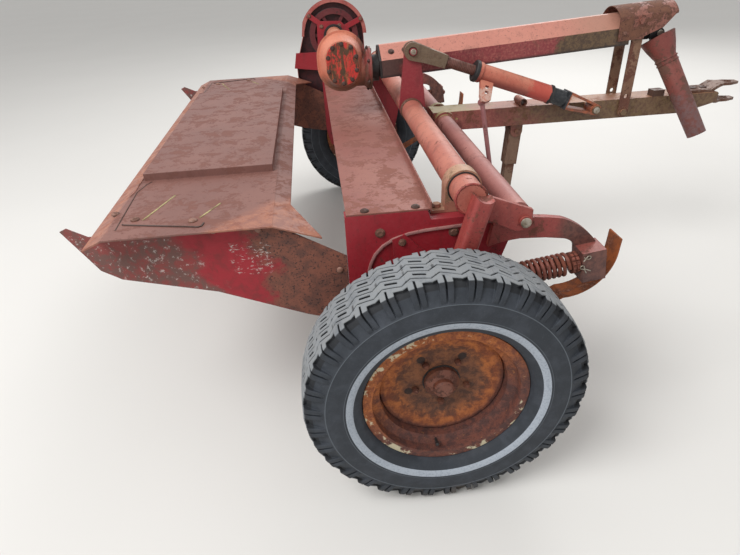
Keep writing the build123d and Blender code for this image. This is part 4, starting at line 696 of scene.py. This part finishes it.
def remove(*models):
    for model in models:
        bpy.data.objects.remove(model)


def copies(model, *places):
    """Copies of a model with their places in their own meshes."""
    made = []
    for place in places:
        copy = model.copy()
        copy.data = model.data.copy()
        copy.data.transform(place)
        if place.determinant() < 0:
            copy.data.flip_normals()
        bpy.context.collection.objects.link(copy)
        made.append(copy)
    return made


def set_out(model, place, twin):
    """A copy of a model at its place, and one mirrored to the left side where it has a twin."""
    return copies(model, place, MIRROR @ place) if twin else copies(model, place)


def toward(point, direction, turn=0.0, size=1.0):
    """Matrix that stands a model's +Z along a direction at a point in metres."""
    aim = Vector(direction).to_track_quat("Z", "Y").to_matrix().to_4x4()
    return Matrix.Translation(point) @ aim @ Matrix.Rotation(turn, 4, "Z") @ Matrix.Scale(size, 4)


def upright(x, y, z):
    """Matrix that lays a flat model's (x, y) along the machine's (x, z) at a place, its thickness to the right."""
    return Matrix.Translation(at(x, y, z)) @ Matrix(((1, 0, 0, 0), (0, 0, -1, 0), (0, 1, 0, 0), (0, 0, 0, 1)))


def smooth(piece, angle=35.0):
    select(piece)
    bpy.ops.object.shade_smooth_by_angle(angle=math.radians(angle))


def finish_piece(name, parts, body, finish, angle=35.0):
    """Joins the parts, smooths and coats them, and says which body they ride on and which slot they take."""
    piece = join(name, parts)
    smooth(piece, angle)
    coat(piece, FINISHES[finish])
    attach(piece, body)
    return piece


def finish_groups(kind, groups, angle=35.0):
    """Finishes like parts as one piece for each body and finish."""
    for (body, finish), parts in groups.items():
        finish_piece("%s_%s_%s" % (kind, body, finish), parts, body, finish, angle)


# Tyres

# half section of the tread: axial place and radius at the top, the same two at the floor of a groove, share of
# the zigzag, strip up to the next row
TREAD_ROWS = (
    (0.0, 355.0, 0.0, 346.0, 1.0, "slit"),
    (3.8, 355.0, 3.5, 346.0, 1.0, "rib"),
    (12.2, 354.9, 12.4, 345.9, 1.0, "groove"),
    (15.8, 354.8, 15.6, 345.8, 1.0, "rib"),
    (24.0, 354.5, 24.3, 345.5, 1.0, "slit"),
    (31.8, 354.3, 31.5, 345.3, 1.0, "rib"),
    (41.6, 353.9, 41.8, 344.9, 1.0, "groove"),
    (45.0, 353.7, 44.8, 344.7, 1.0, "rib"),
    (52.2, 353.1, 52.2, 344.0, 1.0, "lug"),
    (60.0, 352.5, 57.0, 342.5, 0.55, "notch"),
    (70.0, 350.4, 64.0, 339.0, 0.1, "notch"),
    (76.0, 345.0, 70.0, 332.0, 0.0, "notch"),
    (79.6, 334.0, 74.5, 323.0, 0.0, "notch"),
    (83.2, 318.0, 80.0, 312.0, 0.0, "notch"),
    (85.8, 306.5, 85.0, 304.0, 0.0, "wall"),
)
# side wall and lining from the lugs' foot to the middle inside: axial place, radius
WALL_ROWS = ((86.9, 301.5), (88.0, 300.6), (88.1, 299.2), (87.5, 298.2), (89.2, 284.0), (90.0, 268.0), (89.2, 257.0),
             (89.6, 256.2), (88.6, 252.0), (89.1, 251.0), (87.0, 242.0), (83.9, 233.0), (82.9, 232.0), (78.5, 224.0),
             (72.0, 216.2), (71.0, 215.4), (62.0, 210.8), (54.6, 208.6), (54.0, 207.5), (54.0, 191.0), (38.2, 191.0),
             (41.0, 214.5), (59.0, 221.7), (72.2, 241.3), (77.0, 268.0), (74.0, 296.5), (65.0, 325.0), (0.0, 338.0))
# lines across one pitch, from 0 to 1; peak and dip of the zigzag; slits and notches of the near half
PITCH_LINES = (0.0, 0.08, 0.17, 0.215, 0.285, 0.33, 0.42, 0.5, 0.58, 0.67, 0.715, 0.785, 0.83, 0.92, 1.0)
PEAK, DIP = 0.17, 0.83
SLIT, NOTCH = 0.25, 0.75
SLIT_HALF, NOTCH_HALF = 0.036, 0.23
MOULD_ANGLE = 32.0      # edges of the tyre flatter than this are shaded smooth


def zigzag_wave(u):
    """Wave with a short rise to its peak and a long fall to its dip."""
    if u <= PEAK:
        return u / PEAK
    return (0.5 - u) / (0.5 - PEAK) if u <= DIP else (u - 1) / (1 - DIP)


def tread_raised(strip, u, near):
    """Whether a cell of the tread stands up, for the near (+) or far (-) half."""
    slit, notch = (SLIT, NOTCH) if near > 0 else (NOTCH, SLIT)
    if strip == "slit":
        return not 0.28 < u < 0.74
    if strip == "lug":
        return abs(u - slit) > SLIT_HALF
    if strip == "notch":
        return abs(u - notch) > NOTCH_HALF and abs(u - slit) > SLIT_HALF
    return strip == "rib"


def section_rows():
    """The closed section as rows: axial place and radius at top and floor, zigzag share, strip, side."""
    half = [*TREAD_ROWS, *((a, r, a, r, 0.0, "wall") for a, r in WALL_ROWS)]
    near = [(*row, 1) for row in half[:-1]]
    far = []
    for i in range(len(half) - 1, 0, -1):
        a, r, floor_a, floor_r, share, _ = half[i]
        far.append((-a, r, -floor_a, floor_r, share, half[i - 1][5], -1))
    return near + far


def make_pitch(sizes):
    """One pitch of the tyre: laid flat as a grid with its raised cells pulled up by one, then bent round."""
    rows = section_rows()
    columns = len(PITCH_LINES) - 1
    pitch = start("grid", "tyre_pitch", x_subdivisions=columns, y_subdivisions=len(rows), size=2)
    for vertex in pitch.data.vertices:
        column = round((vertex.co.x + 1) / 2 * columns)
        vertex.co = (PITCH_LINES[column], round((vertex.co.y + 1) / 2 * len(rows)), 0)
    pitch.data.update()
    pick_faces(pitch, lambda centre, _: tread_raised(rows[int(centre.y)][5], centre.x, rows[int(centre.y)][6]))
    bpy.ops.mesh.extrude_region_move(TRANSFORM_OT_translate={"value": (0, 0, 1)})
    leave_edit()
    turn = 2 * math.pi / sizes.tread_pitches
    deep = sizes.tread_depth / (TREAD_DEPTH * MM)
    for vertex in pitch.data.vertices:
        u, s, rise = vertex.co
        a, r, floor_a, floor_r, share, _, _ = rows[round(s) % len(rows)]
        low_a, low_r = a + (floor_a - a) * deep, r + (floor_r - r) * deep
        axial = low_a + (a - low_a) * rise - share * sizes.zigzag / MM * zigzag_wave(u)
        reach = (low_r + (r - low_r) * rise) * MM
        vertex.co = (reach * math.cos(u * turn), axial * MM, reach * math.sin(u * turn))
    return pitch


class CRIMPER_OT_tyres(bpy.types.Operator):
    """Models the two tyres with zigzag ribs, slits and shoulder lugs"""
    bl_idname = "crimper.tyres"
    bl_label = "Tyres"

    def execute(self, context):
        pitch = make_pitch(context.scene.crimper_sizes)
        pitches = context.scene.crimper_sizes.tread_pitches
        turns = [Matrix.Rotation(-2 * math.pi * i / pitches, 4, "Y") for i in range(pitches)]
        ring = join("tyre_model", copies(pitch, *turns))
        remove(pitch)
        edit()
        close_up(0.02)
        round_edges(ring, 1.1, 1, 48)
        smooth(ring, MOULD_ANGLE)
        for side, sign in SIDES:
            place = Matrix.Translation(at(0, sign * WHEEL_Y, AXLE_Z)) @ Matrix.Scale(-sign, 4, (0, 1, 0))
            tyre = finish_piece("tyre_tread_" + side, copies(ring, place), "wheel_" + side, "tyre_rubber",
                                MOULD_ANGLE)
            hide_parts("tyre_" + side)
        remove(ring)
        return {"FINISHED"}


# Turned, flat and bent shapes

UP, DOWN, RIGHT, LEFT, AHEAD, BEHIND = (0, 0, 1), (0, 0, -1), (0, -1, 0), (0, 1, 0), (1, 0, 0), (-1, 0, 0)


def turned(name, rows, sides=24, hollow=False):
    """Turned piece along Z from (height, radius) rows in millimetres; a hollow one closes its section."""
    low, first = rows[0]
    piece = start("circle", name, vertices=sides, radius=first * MM, fill_type="NOTHING" if hollow else "NGON")
    edit("EDGE" if hollow else "FACE")
    bpy.ops.transform.translate(value=(0, 0, low * MM))
    extrude = bpy.ops.mesh.extrude_edges_move if hollow else bpy.ops.mesh.extrude_region_move
    for height, radius in rows[1:] + (rows[:1] if hollow else ()):
        extrude(TRANSFORM_OT_translate={"value": (0, 0, (height - low) * MM)})
        bpy.ops.transform.resize(value=(radius / first, radius / first, 1), center_override=(0, 0, height * MM))
        low, first = height, radius
    close_up()
    return piece


def plate(name, outline, thick, bevel=0.8):
    """Flat piece: a face laid to an outline of (x, y) millimetres and extruded up."""
    piece = start("circle", name, vertices=len(outline), fill_type="NGON")
    for vertex, (x, y) in zip(piece.data.vertices, outline):
        vertex.co = (x * MM, y * MM, 0)
    edit()
    bpy.ops.mesh.extrude_region_move(TRANSFORM_OT_translate={"value": (0, 0, thick * MM)})
    close_up()
    round_edges(piece, bevel, 2, 40)
    return piece


def ribbon(points, half):
    """Outline of a band of half width round a line of points."""
    upper, lower = [], []
    for i, (x, y) in enumerate(points):
        ahead, behind = points[min(i + 1, len(points) - 1)], points[max(i - 1, 0)]
        run = Vector((ahead[0] - behind[0], ahead[1] - behind[1])).normalized() * half
        upper.append((x - run.y, y + run.x))
        lower.append((x + run.y, y - run.x))
    return upper + lower[::-1]


def bent_wire(name, points, radius):
    """Bent wire through points in millimetres."""
    piece = start("circle", name, vertices=len(points))
    for vertex, point in zip(piece.data.vertices, points):
        vertex.co = Vector(point) * MM
    for edge in piece.data.edges:
        edge.select = set(edge.vertices) == {0, len(points) - 1}
    for vertex in piece.data.vertices:
        vertex.select = False
    bpy.ops.object.mode_set(mode="EDIT")
    bpy.ops.mesh.select_mode(type="EDGE")
    bpy.ops.mesh.delete(type="EDGE")
    leave_edit()
    bpy.ops.object.convert(target="CURVE")
    curve = bpy.context.object
    curve.data.bevel_depth = radius * MM
    curve.data.bevel_resolution = 2
    curve.data.use_fill_caps = True
    bpy.ops.object.convert(target="MESH")
    piece = bpy.context.object
    bpy.ops.object.mode_set(mode="EDIT")
    close_up()
    return piece


def ring(radius, *turns):
    """Steps aside and up to places on a ring, for turns in degrees."""
    return [(radius * math.cos(math.radians(turn)), radius * math.sin(math.radians(turn))) for turn in turns]


# Roll springs: heights along the rod, in front of its block

ROD_TILT = math.radians(8)
ROD_WAY = (-math.cos(ROD_TILT), 0, -math.sin(ROD_TILT))
ROD_PLACE = (420, -938, 584)
ROD_ROWS = ((-46, 6.5), (-44.5, 8), (312.5, 8))
NUT_ROWS = ((-42, 12), (-40.5, 14), (-33, 14), (-31.5, 12))
COLLAR_ROWS = ((31.4, 22), (32, 25), (42, 25), (43, 25), (53, 25), (54, 22))
COLLAR_SLOTS = ((32, 42), (43, 53))
END_ROWS = ((216.8, 24), (217.4, 30), (226, 30), (226.8, 26))
COIL_R, COIL_START, COIL_STEPS = 27.0, 56.0, 24
# cotter pins on the outer face of the blocks: x, z, lean in degrees, length of the legs
COTTERS = ((400, 610, 200, 15), (387, 582, 320, 26))
COTTER_Y = -973.2


class CRIMPER_OT_springs(bpy.types.Operator):
    """Winds the two roll springs on their rods, with castellated collars, end collars and cotter pins"""
    bl_idname = "crimper.springs"
    bl_label = "Roll springs"

    def execute(self, context):
        sizes = context.scene.crimper_sizes
        coil = start("circle", "coil", vertices=10, radius=sizes.spring_wire)
        edit("EDGE")
        bpy.ops.transform.rotate(value=math.pi / 2, orient_axis="X", center_override=(0, 0, 0))
        bpy.ops.transform.translate(value=(COIL_R * MM, 0, COIL_START * MM + sizes.spring_wire))
        leave_edit()
        apply_modifier(coil, "SCREW", angle=2 * math.pi, screw_offset=sizes.spring_pitch, axis="Z",
                       iterations=sizes.spring_turns - 1, steps=COIL_STEPS, render_steps=COIL_STEPS)
        edit("EDGE", "DESELECT")
        bpy.ops.mesh.select_non_manifold()
        bpy.ops.mesh.fill_holes(sides=0)
        close_up()
        collar = turned("collar", COLLAR_ROWS, 14)
        pick_faces(collar, lambda centre, normal: abs(normal.z) < 0.2 and any(
            low < centre.z / MM < high for low, high in COLLAR_SLOTS))
        bpy.ops.mesh.inset(thickness=0.8 * MM, depth=4.0 * MM, use_individual=True)
        close_up()
        spring = join("roll_spring", [coil, collar, turned("rod", ROD_ROWS), turned("nut", NUT_ROWS, 6),
                                      turned("end_collar", END_ROWS, 28)])
        both = set_out(spring, toward(at(*ROD_PLACE), ROD_WAY), True)
        pair = finish_piece("roll_spring_pair", both, "frame", "spring_iron")
        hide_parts("roll_springs")
        remove(spring)
        pins = []
        for x, z, lean, legs in COTTERS:
            eye = [(a, b, 0) for a, b in ring(5, *range(30, 360, 30))]
            pin = bent_wire("cotter", [(legs, 6, 0), (9, 1, 0), *eye, (9, -1, 0), (legs - 4, -5, 0)], 1.5)
            pins += set_out(pin, upright(x, COTTER_Y, z) @ Matrix.Rotation(math.radians(lean), 4, "Z"), True)
            remove(pin)
        finish_piece("cotter_pins", pins, "frame", "bright_pin", 60)
        return {"FINISHED"}


# Fasteners

# kind: rows and sides of its lower part, rows and sides of its upper part, for a radius of 1
FASTENER_MODELS = {
    "hex": (((0, 1.3), (0.1, 1.3), (0.14, 1.22)), 18, ((0.12, 0.9), (0.14, 1.0), (0.58, 1.0), (0.7, 0.84)), 6),
    "nut": (((0.1, 1.0), (0.7, 1.0), (0.8, 0.86)), 6, ((0.7, 0.52), (1.15, 0.52), (1.22, 0.42)), 12),
    "dome": (((0, 1.0), (0.2, 1.0), (0.34, 0.9), (0.5, 0.66), (0.58, 0.3)), 16, ((-0.1, 0.62), (0.1, 0.62)), 4),
    "flat": (((0, 1.0), (0.16, 1.0), (0.26, 0.86)), 20, ((0.2, 0.3), (0.27, 0.28)), 12),
    "pin": (((0, 1.0), (0.1, 1.0), (0.16, 0.92), (0.18, 0.5)), 24, ((0.15, 0.3), (0.2, 0.26)), 16),
}
COVER_BOLTS = tuple((-146 + a, -81, 952 + rise + b)
                    for rise, turns in ((16, (8, 50, 90, 130, 172)), (-16, (188, 230, 270, 310, 352)))
                    for a, b in ring(50, *turns))
WING_OUT = (-0.139, -0.99, 0)
# body, model, finish, radius, direction, whether the left side repeats it, places
FASTENERS = (
    ("frame", "dome", "fastener_rust", 11, UP, True, ((-737, -796, 740), (-586, -832, 740), (-800, -747, 738))),
    ("frame", "dome", "fastener_dark", 11, UP, True, ((-158, -889, 752.3), (-31, -889, 752.3))),
    ("frame", "hex", "fastener_rust", 10, RIGHT, True, ((-123, -905, 697), (64, -905, 683))),
    ("frame", "hex", "fastener_rust", 8, RIGHT, True, ((-68, -911.3, 668), (-70, -911.3, 548), (10, -911.3, 548))),
    ("frame", "hex", "fastener_rust", 7, RIGHT, True,
     tuple((35 + a, -911, 396 + b) for a, b in ring(37, 45, 135, 225, 315))),
    ("frame", "nut", "fastener_rust", 8, RIGHT, True, ((54, -905, 322), (120, -905, 340), (-150, -905, 420))),
    ("frame", "dome", "fastener_rust", 9, WING_OUT, True, ((-229.8, -902.2, 600), (-229.8, -902.2, 490))),
    ("frame", "dome", "fastener_rust", 9, WING_OUT, True,
     tuple((-210 - 0.99 * a, -905 + 0.139 * a, 722) for a in (215, 330, 445, 560))),
    ("frame", "dome", "fastener_rust", 9, DOWN, True, ((45, -847, 278), (105, -847, 278))),
    ("frame", "pin", "bright_pin", 13.5, RIGHT, True, ((232, -952.7, 714),)),
    ("frame", "pin", "bright_pin", 10, RIGHT, False, ((99, -130, 985),)),
    ("frame", "hex", "fastener_rust", 9, UP, False, ((-205, 882, 760.3), (-55, 882, 760.3))),
    ("frame", "hex", "fastener_rust", 8, RIGHT, False,
     ((-100, 906.7, 962), (-190, 906.7, 962), (10, 906.7, 988), (-248, 906.7, 1013))),
    ("frame", "dome", "fastener_rust", 7, LEFT, False,
     ((-290, 943.5, 760), (-230, 943.5, 640), (-60, 943.5, 500), (30, 943.5, 620), (-10, 943.5, 900),
      (-235, 943.5, 960))),
    ("driveline", "hex", "fastener_dark", 6, RIGHT, False, COVER_BOLTS),
    ("driveline", "hex", "fastener_dark", 9, (0, -0.654, 0.756), True, ((34, -36, 975.6), (84, -36, 979))),
    ("driveline", "hex", "fastener_dark", 7, AHEAD, False,
     tuple((-39, a, 918 + b) for a, b in ring(62, *range(30, 360, 60)))),
    ("driveline", "nut", "fastener_dark", 7, BEHIND, False,
     tuple((-48, a, 918 + b) for a, b in ring(72, *range(30, 360, 60)))),
    ("driveline", "hex", "fastener_dark", 9, UP, False, ((-130, -8, 1025.5),)),
    ("driveline", "hex", "fastener_rust", 7, RIGHT, True, ((891, -69, 990),)),
    ("drawbar", "flat", "fastener_dark", 14, UP, False, ((1261, 0, 758.3), (1305, 0, 758.3))),
    ("drawbar", "pin", "bright_pin", 12, RIGHT, False, ((797, -141, 738),)),
)
FASTENER_SEED, WELD_SEED = 7, 3


class CRIMPER_OT_fasteners(bpy.types.Operator):
    """Sets bolts, nuts, carriage bolts and pin heads on the pieces they hold"""
    bl_idname = "crimper.fasteners"
    bl_label = "Fasteners"

    def execute(self, context):
        models = {kind: join(kind, [turned("low", *rows[:2]), turned("high", *rows[2:])])
                  for kind, rows in FASTENER_MODELS.items()}
        groups = {}
        rng = random.Random(FASTENER_SEED)
        for body, kind, finish, radius, way, twin, places in FASTENERS:
            for place in places:
                stand = toward(at(*place), way, rng.uniform(0, math.pi), radius)
                groups.setdefault((body, finish), []).extend(set_out(models[kind], stand, twin))
        finish_groups("fasteners", groups)
        remove(*models.values())
        return {"FINISHED"}


# Rings, collars and weld beads

# body, name, finish, rows of a hollow ring, centre, axis, whether the left side repeats it
RINGS = (
    ("frame", "clamp_linings", "greasy_black", ((-24, 38.5), (-24, 42), (24, 42), (24, 38.5)), (94, -850, 785),
     RIGHT, True),
    ("frame", "post_collar", "clevis_iron", ((7, 38.2), (7, 41), (26, 41), (28, 38.2)), (94, -104, 785),
     RIGHT, False),
    ("frame", "cross_collar", "greasy_black", ((0, 40.2), (0, 52), (5, 52), (5, 40.2)), (GEAR_X, 893, GEAR_Z),
     LEFT, False),
    ("jack_body", "screw_seal", "greasy_black",
     ((238, 18.6), (238, 34), (241, 38), (251, 38), (254, 34), (254, 32.5), (245.8, 32.5), (245.8, 18.6)),
     POST_PIN, JACK_WAY, False),
    ("jack_body", "sleeve_lip", "greasy_black",
     ((548, 32.2), (549, 34.6), (556, 34.6), (557, 29.2), (552.4, 29.2), (552.4, 32.2)), POST_PIN, JACK_WAY, False),
    ("pto_shaft", "guard_band_upper", "shield_paint", ((106, 37.6), (107, 41), (112, 41), (113, 37.6)),
     JOINT, PTO_WAY, False),
    ("pto_shaft", "guard_band_lower", "shield_paint", ((121, 37.4), (122, 40.4), (126, 40.4), (127, 37.4)),
     JOINT, PTO_WAY, False),
    *(("wheel_" + side, "hub_seal_" + side, "greasy_black", ((-1.5, 45.2), (-1.5, 49), (1.5, 48), (1.5, 45.2)),
       (0, 1086 * sign, 355), (0, sign, 0), False) for side, sign in SIDES),
)
# body, finish, radius of the joint, radius of the bead, centre, axis, whether the left side repeats it
WELDS = (
    ("frame", "arm_paint", 38.3, 3.2, (94, -943.2, 785), RIGHT, True),
    ("frame", "post_paint", 38.4, 3.4, (94, -96.6, 785), RIGHT, False),
    ("drawbar", "mossy_bar", 30.4, 3.2, (232, -75, 714), RIGHT, True),
    ("jack_body", "jack_paint", 32.2, 2.6, Vector(POST_PIN) + 266 * JACK_WAY, JACK_WAY, False),
)
# ripples of a weld bead: how many go round, their height, and the most that chance adds
RIPPLES, RIPPLE_HEIGHT, RIPPLE_CHANCE = 26, 0.9, 0.3


class CRIMPER_OT_rings(bpy.types.Operator):
    """Turns the collars, seals and bands, and lays the round weld beads"""
    bl_idname = "crimper.rings"
    bl_label = "Rings and welds"

    def execute(self, context):
        for body, name, finish, rows, centre, axis, twin in RINGS:
            model = turned(name + "_model", rows, 36, hollow=True)
            finish_piece(name, set_out(model, toward(at(*centre), axis), twin), body, finish)
            remove(model)
        rng = random.Random(WELD_SEED)
        groups = {}
        for body, finish, radius, bead, centre, axis, twin in WELDS:
            rows = tuple((a, radius + b) for a, b in ring(bead, *range(0, 360, 60)))
            model = turned("bead", rows, 60, hollow=True)
            for vertex in model.data.vertices:
                out = Vector((vertex.co.x, vertex.co.y, 0)).normalized()
                wave = RIPPLE_HEIGHT * math.sin(math.atan2(out.y, out.x) * RIPPLES)
                vertex.co += out * (wave + rng.uniform(-RIPPLE_CHANCE, RIPPLE_CHANCE)) * MM
            groups.setdefault((body, finish), []).extend(set_out(model, toward(at(*centre), axis), twin))
            remove(model)
        finish_groups("welds", groups, 60)
        return {"FINISHED"}


# Flat trim

ON_PLATE = upright(0, PLATE_FACE, 0)
ON_DECK = Matrix.Translation(at(0, 0, DECK_TOP))
BEAD_LINE = ((-156, 590), (-150, 612), (-138, 638), (-118, 660), (-91, 677), (-52, 689), (-9, 695), (60, 699),
             (130, 702), (192, 706))
STRIP_LINE = ((-762, -820), (-757, -824), (-566, -872), (-559, -868), (-556, -850))
SEAM_LINE = ((-771, -850), (-780, -607), (-767, -552), (-756, -530))
FLAP_OUTLINE = ((-791, -640), (-786, -600), (-788, -470), (-782, -360), (-787, -210), (-781, -40), (-786, 120),
                (-782, 330), (-788, 500), (-785, 620), (-791, 660))
REAR_SLOT = ((-716, -802), (-690, -726), (-664, -650))
FRONT_SLOT = ((-571, -816), (-550, -774), (-529, -732))
# name, finish, outline, thickness, place, whether the left side repeats it
PLATES = (
    ("plate_bead", "bead_paint", ribbon(BEAD_LINE, 3.6), 5, ON_PLATE, True),
    ("deck_strip", "fastener_dark", ribbon(STRIP_LINE, 2), 2.6, ON_DECK, True),
    ("deck_seam", "fastener_dark", ribbon(SEAM_LINE, 1.6), 0.8, ON_DECK, True),
    ("deck_flap", "flap_sheet", FLAP_OUTLINE, 1.6, ON_DECK, False),
    ("deck_slots", "slot_light", ribbon(REAR_SLOT, 3), 0.6, ON_DECK, True),
    ("deck_slots_front", "slot_light", ribbon(FRONT_SLOT, 3), 0.6, ON_DECK, True),
)
TRIM_BEVEL = 0.3


class CRIMPER_OT_plates(bpy.types.Operator):
    """Lays the bead on the end plates and the strips, seams, slots and flap of the deck"""
    bl_idname = "crimper.plates"
    bl_label = "Flat trim"

    def execute(self, context):
        for name, finish, outline, thick, place, twin in PLATES:
            model = plate(name + "_model", outline, thick, TRIM_BEVEL)
            finish_piece(name, set_out(model, place, twin), "frame", finish)
            remove(model)
        return {"FINISHED"}


# Universal joint and tyre valves

CAP_ROWS = ((0, 12), (1.6, 12), (2.2, 10.6), (2.2, 7), (1.4, 6.4))
CAP_REACH = 34
CROSS_ROWS = ((-25, 6), (-24, 8), (24, 8), (25, 6))
NIPPLE_ROWS = ((0, 3.6), (3, 3.6), (3.4, 2.2), (6, 2.2), (7, 3), (9, 2.4), (10, 1.2))
NIPPLE_BACK = 14
FORK_OUTLINE = ((-6, -9), (4, -12), (48, -13), (48, 13), (4, 12), (-6, 9))
FORK_THICK, FORK_REACH = 6, 19
VALVE_ROWS = ((0, 6.5), (6, 5.5), (8, 3.6), (24, 3.4), (24.5, 4.4), (34, 4.4), (35, 3.2))
VALVE_X, VALVE_Y, VALVE_Z, VALVE_RISE = -19, 1116, 182, 0.2


class CRIMPER_OT_joint(bpy.types.Operator):
    """Models the universal joint's caps, cross and fork inside the bell, and the tyre valves"""
    bl_idname = "crimper.joint"
    bl_label = "Universal joint and valves"

    def execute(self, context):
        x, _, z = JOINT
        across = PTO_WAY.cross(Vector((0, 1, 0))).normalized()
        over = across.cross(PTO_WAY).normalized()
        cap = turned("cap", CAP_ROWS, 20)
        caps = copies(cap, toward(at(x, -CAP_REACH, z), RIGHT), toward(at(x, CAP_REACH, z), LEFT))
        finish_piece("joint_caps", caps, "driveline", "bright_pin")
        cross = turned("cross", CROSS_ROWS, 20)
        nipple = turned("nipple", NIPPLE_ROWS, 10)
        bright = copies(cross, toward(PTO, across))
        bright += copies(nipple, toward(PTO - PTO_WAY * NIPPLE_BACK * MM, -PTO_WAY))
        finish_piece("joint_cross", bright, "pto_shaft", "bright_pin")
        fork = plate("fork", FORK_OUTLINE, FORK_THICK)
        arms = []
        for turn in (1, -1):
            axes = Matrix((PTO_WAY, over * -turn, across * turn)).transposed().to_4x4()
            arms += copies(fork, Matrix.Translation(PTO + across * turn * FORK_REACH * MM) @ axes)
        finish_piece("joint_fork", arms, "pto_shaft", "greasy_black")
        stem = turned("stem", VALVE_ROWS, 12)
        for side, sign in SIDES:
            place = toward(at(VALVE_X, sign * VALVE_Y, VALVE_Z), (0, sign, VALVE_RISE))
            finish_piece("valve_" + side, copies(stem, place), "wheel_" + side, "greasy_black")
        remove(cap, cross, nipple, fork, stem)
        return {"FINISHED"}


# Stage

FLOOR_SIZE, FLOOR_Z = 80, -0.0005
SKY, SKY_SEEN = 0.55, 0.86
LAMPS_AIM = Vector((0, 0, 0.4))
CAMERA_LENS = 26.1
CAMERA_PLACE = Vector((-0.5071, -2.0924, 1.3113))
# the picture's right, down and ahead
CAMERA_AXES = ((0.9933, -0.1068, -0.0444), (-0.094, -0.5219, -0.8478), (0.0674, 0.8463, -0.5285))


def light_sky(world):
    """Plain white light, brighter where the camera or a reflection sees it."""
    world.use_nodes = True
    nodes, links = world.node_tree.nodes, world.node_tree.links
    path = nodes.new("ShaderNodeLightPath")
    seen = path.outputs["Is Camera Ray"]
    for ray in ("Is Glossy Ray", "Is Transmission Ray"):
        either = nodes.new("ShaderNodeMath")
        either.operation = "MAXIMUM"
        links.new(seen, either.inputs[0])
        links.new(path.outputs[ray], either.inputs[1])
        seen = either.outputs[0]
    strength = nodes.new("ShaderNodeMapRange")
    strength.inputs["To Min"].default_value = SKY
    strength.inputs["To Max"].default_value = SKY_SEEN
    links.new(seen, strength.inputs["Value"])
    sky = nodes["Background"]
    sky.inputs["Color"].default_value = (1, 1, 1, 1)
    links.new(strength.outputs["Result"], sky.inputs["Strength"])


class CRIMPER_OT_stage(bpy.types.Operator):
    """Lays the studio floor, soft lamps and the camera"""
    bl_idname = "crimper.stage"
    bl_label = "Stage"

    def execute(self, context):
        scene = context.scene
        floor = start("plane", "studio_floor", size=FLOOR_SIZE)
        f = Finish("floor_paint")
        clouds = f.ramp(f.noise(900, detail=2, rough=0.5), 0.3, 0.7)
        f.put(f.shader.inputs["Base Color"], f.lay("floor", (218, 216, 212), clouds, 0.2))
        f.put(f.shader.inputs["Roughness"], 0.9)
        coat(floor, f.material)
        floor.location.z = FLOOR_Z
        scene.world = bpy.data.worlds.new("studio")
        light_sky(scene.world)
        sizes = scene.crimper_sizes
        # name, place, size, power
        for name, place, size, watts in (("key_lamp", (-3.2, -2.6, 4.6), 3.0, sizes.key_power),
                                         ("back_lamp", (2.4, 4.2, 4.4), 3.4, sizes.back_power)):
            light = bpy.data.lights.new(name, "AREA")
            light.size = size
            light.energy = watts
            lamp = bpy.data.objects.new(name, light)
            scene.collection.objects.link(lamp)
            lamp.location = place
            lamp.rotation_euler = (Vector(place) - LAMPS_AIM).to_track_quat("Z", "Y").to_euler()
        lens = bpy.data.cameras.new("camera")
        lens.sensor_width = 36.0
        lens.sensor_fit = "HORIZONTAL"
        lens.lens = CAMERA_LENS
        camera = bpy.data.objects.new("camera", lens)
        scene.collection.objects.link(camera)
        right, down, ahead = (Vector(axis).normalized() for axis in CAMERA_AXES)
        turn = Matrix((right, -down, -ahead)).transposed().to_4x4()
        camera.matrix_world = Matrix.Translation(CAMERA_PLACE) @ turn
        scene.camera = camera
        scene.view_settings.view_transform = "Standard"
        return {"FINISHED"}


class CRIMPER_PT_panel(bpy.types.Panel):
    """Lists the pieces in the sidebar"""
    bl_idname = "CRIMPER_PT_panel"
    bl_label = "Hay crimper"
    bl_space_type = "VIEW_3D"
    bl_region_type = "UI"
    bl_category = "Crimper"

    def draw(self, context):
        for operator in OPERATORS:
            self.layout.operator(operator.bl_idname)
        for group in (context.scene.crimper_sizes, context.scene.crimper_colours):
            for name in group.__annotations__:
                self.layout.prop(group, name)


OPERATORS = (CRIMPER_OT_stage, CRIMPER_OT_finishes, CRIMPER_OT_tyres, CRIMPER_OT_springs, CRIMPER_OT_fasteners,
             CRIMPER_OT_rings, CRIMPER_OT_plates, CRIMPER_OT_joint)
CLASSES = (CrimperColours, CrimperSizes, *OPERATORS, CRIMPER_PT_panel)


def register():
    for item in CLASSES:
        bpy.utils.register_class(item)
    bpy.types.Scene.crimper_colours = bpy.props.PointerProperty(type=CrimperColours)
    bpy.types.Scene.crimper_sizes = bpy.props.PointerProperty(type=CrimperSizes)


def unregister():
    del bpy.types.Scene.crimper_sizes
    del bpy.types.Scene.crimper_colours
    for item in reversed(CLASSES):
        bpy.utils.unregister_class(item)


def main():
    register()
    for operator in OPERATORS:
        group, name = operator.bl_idname.split(".")
        getattr(getattr(bpy.ops, group), name)()


if __name__ == "__main__":
    main()
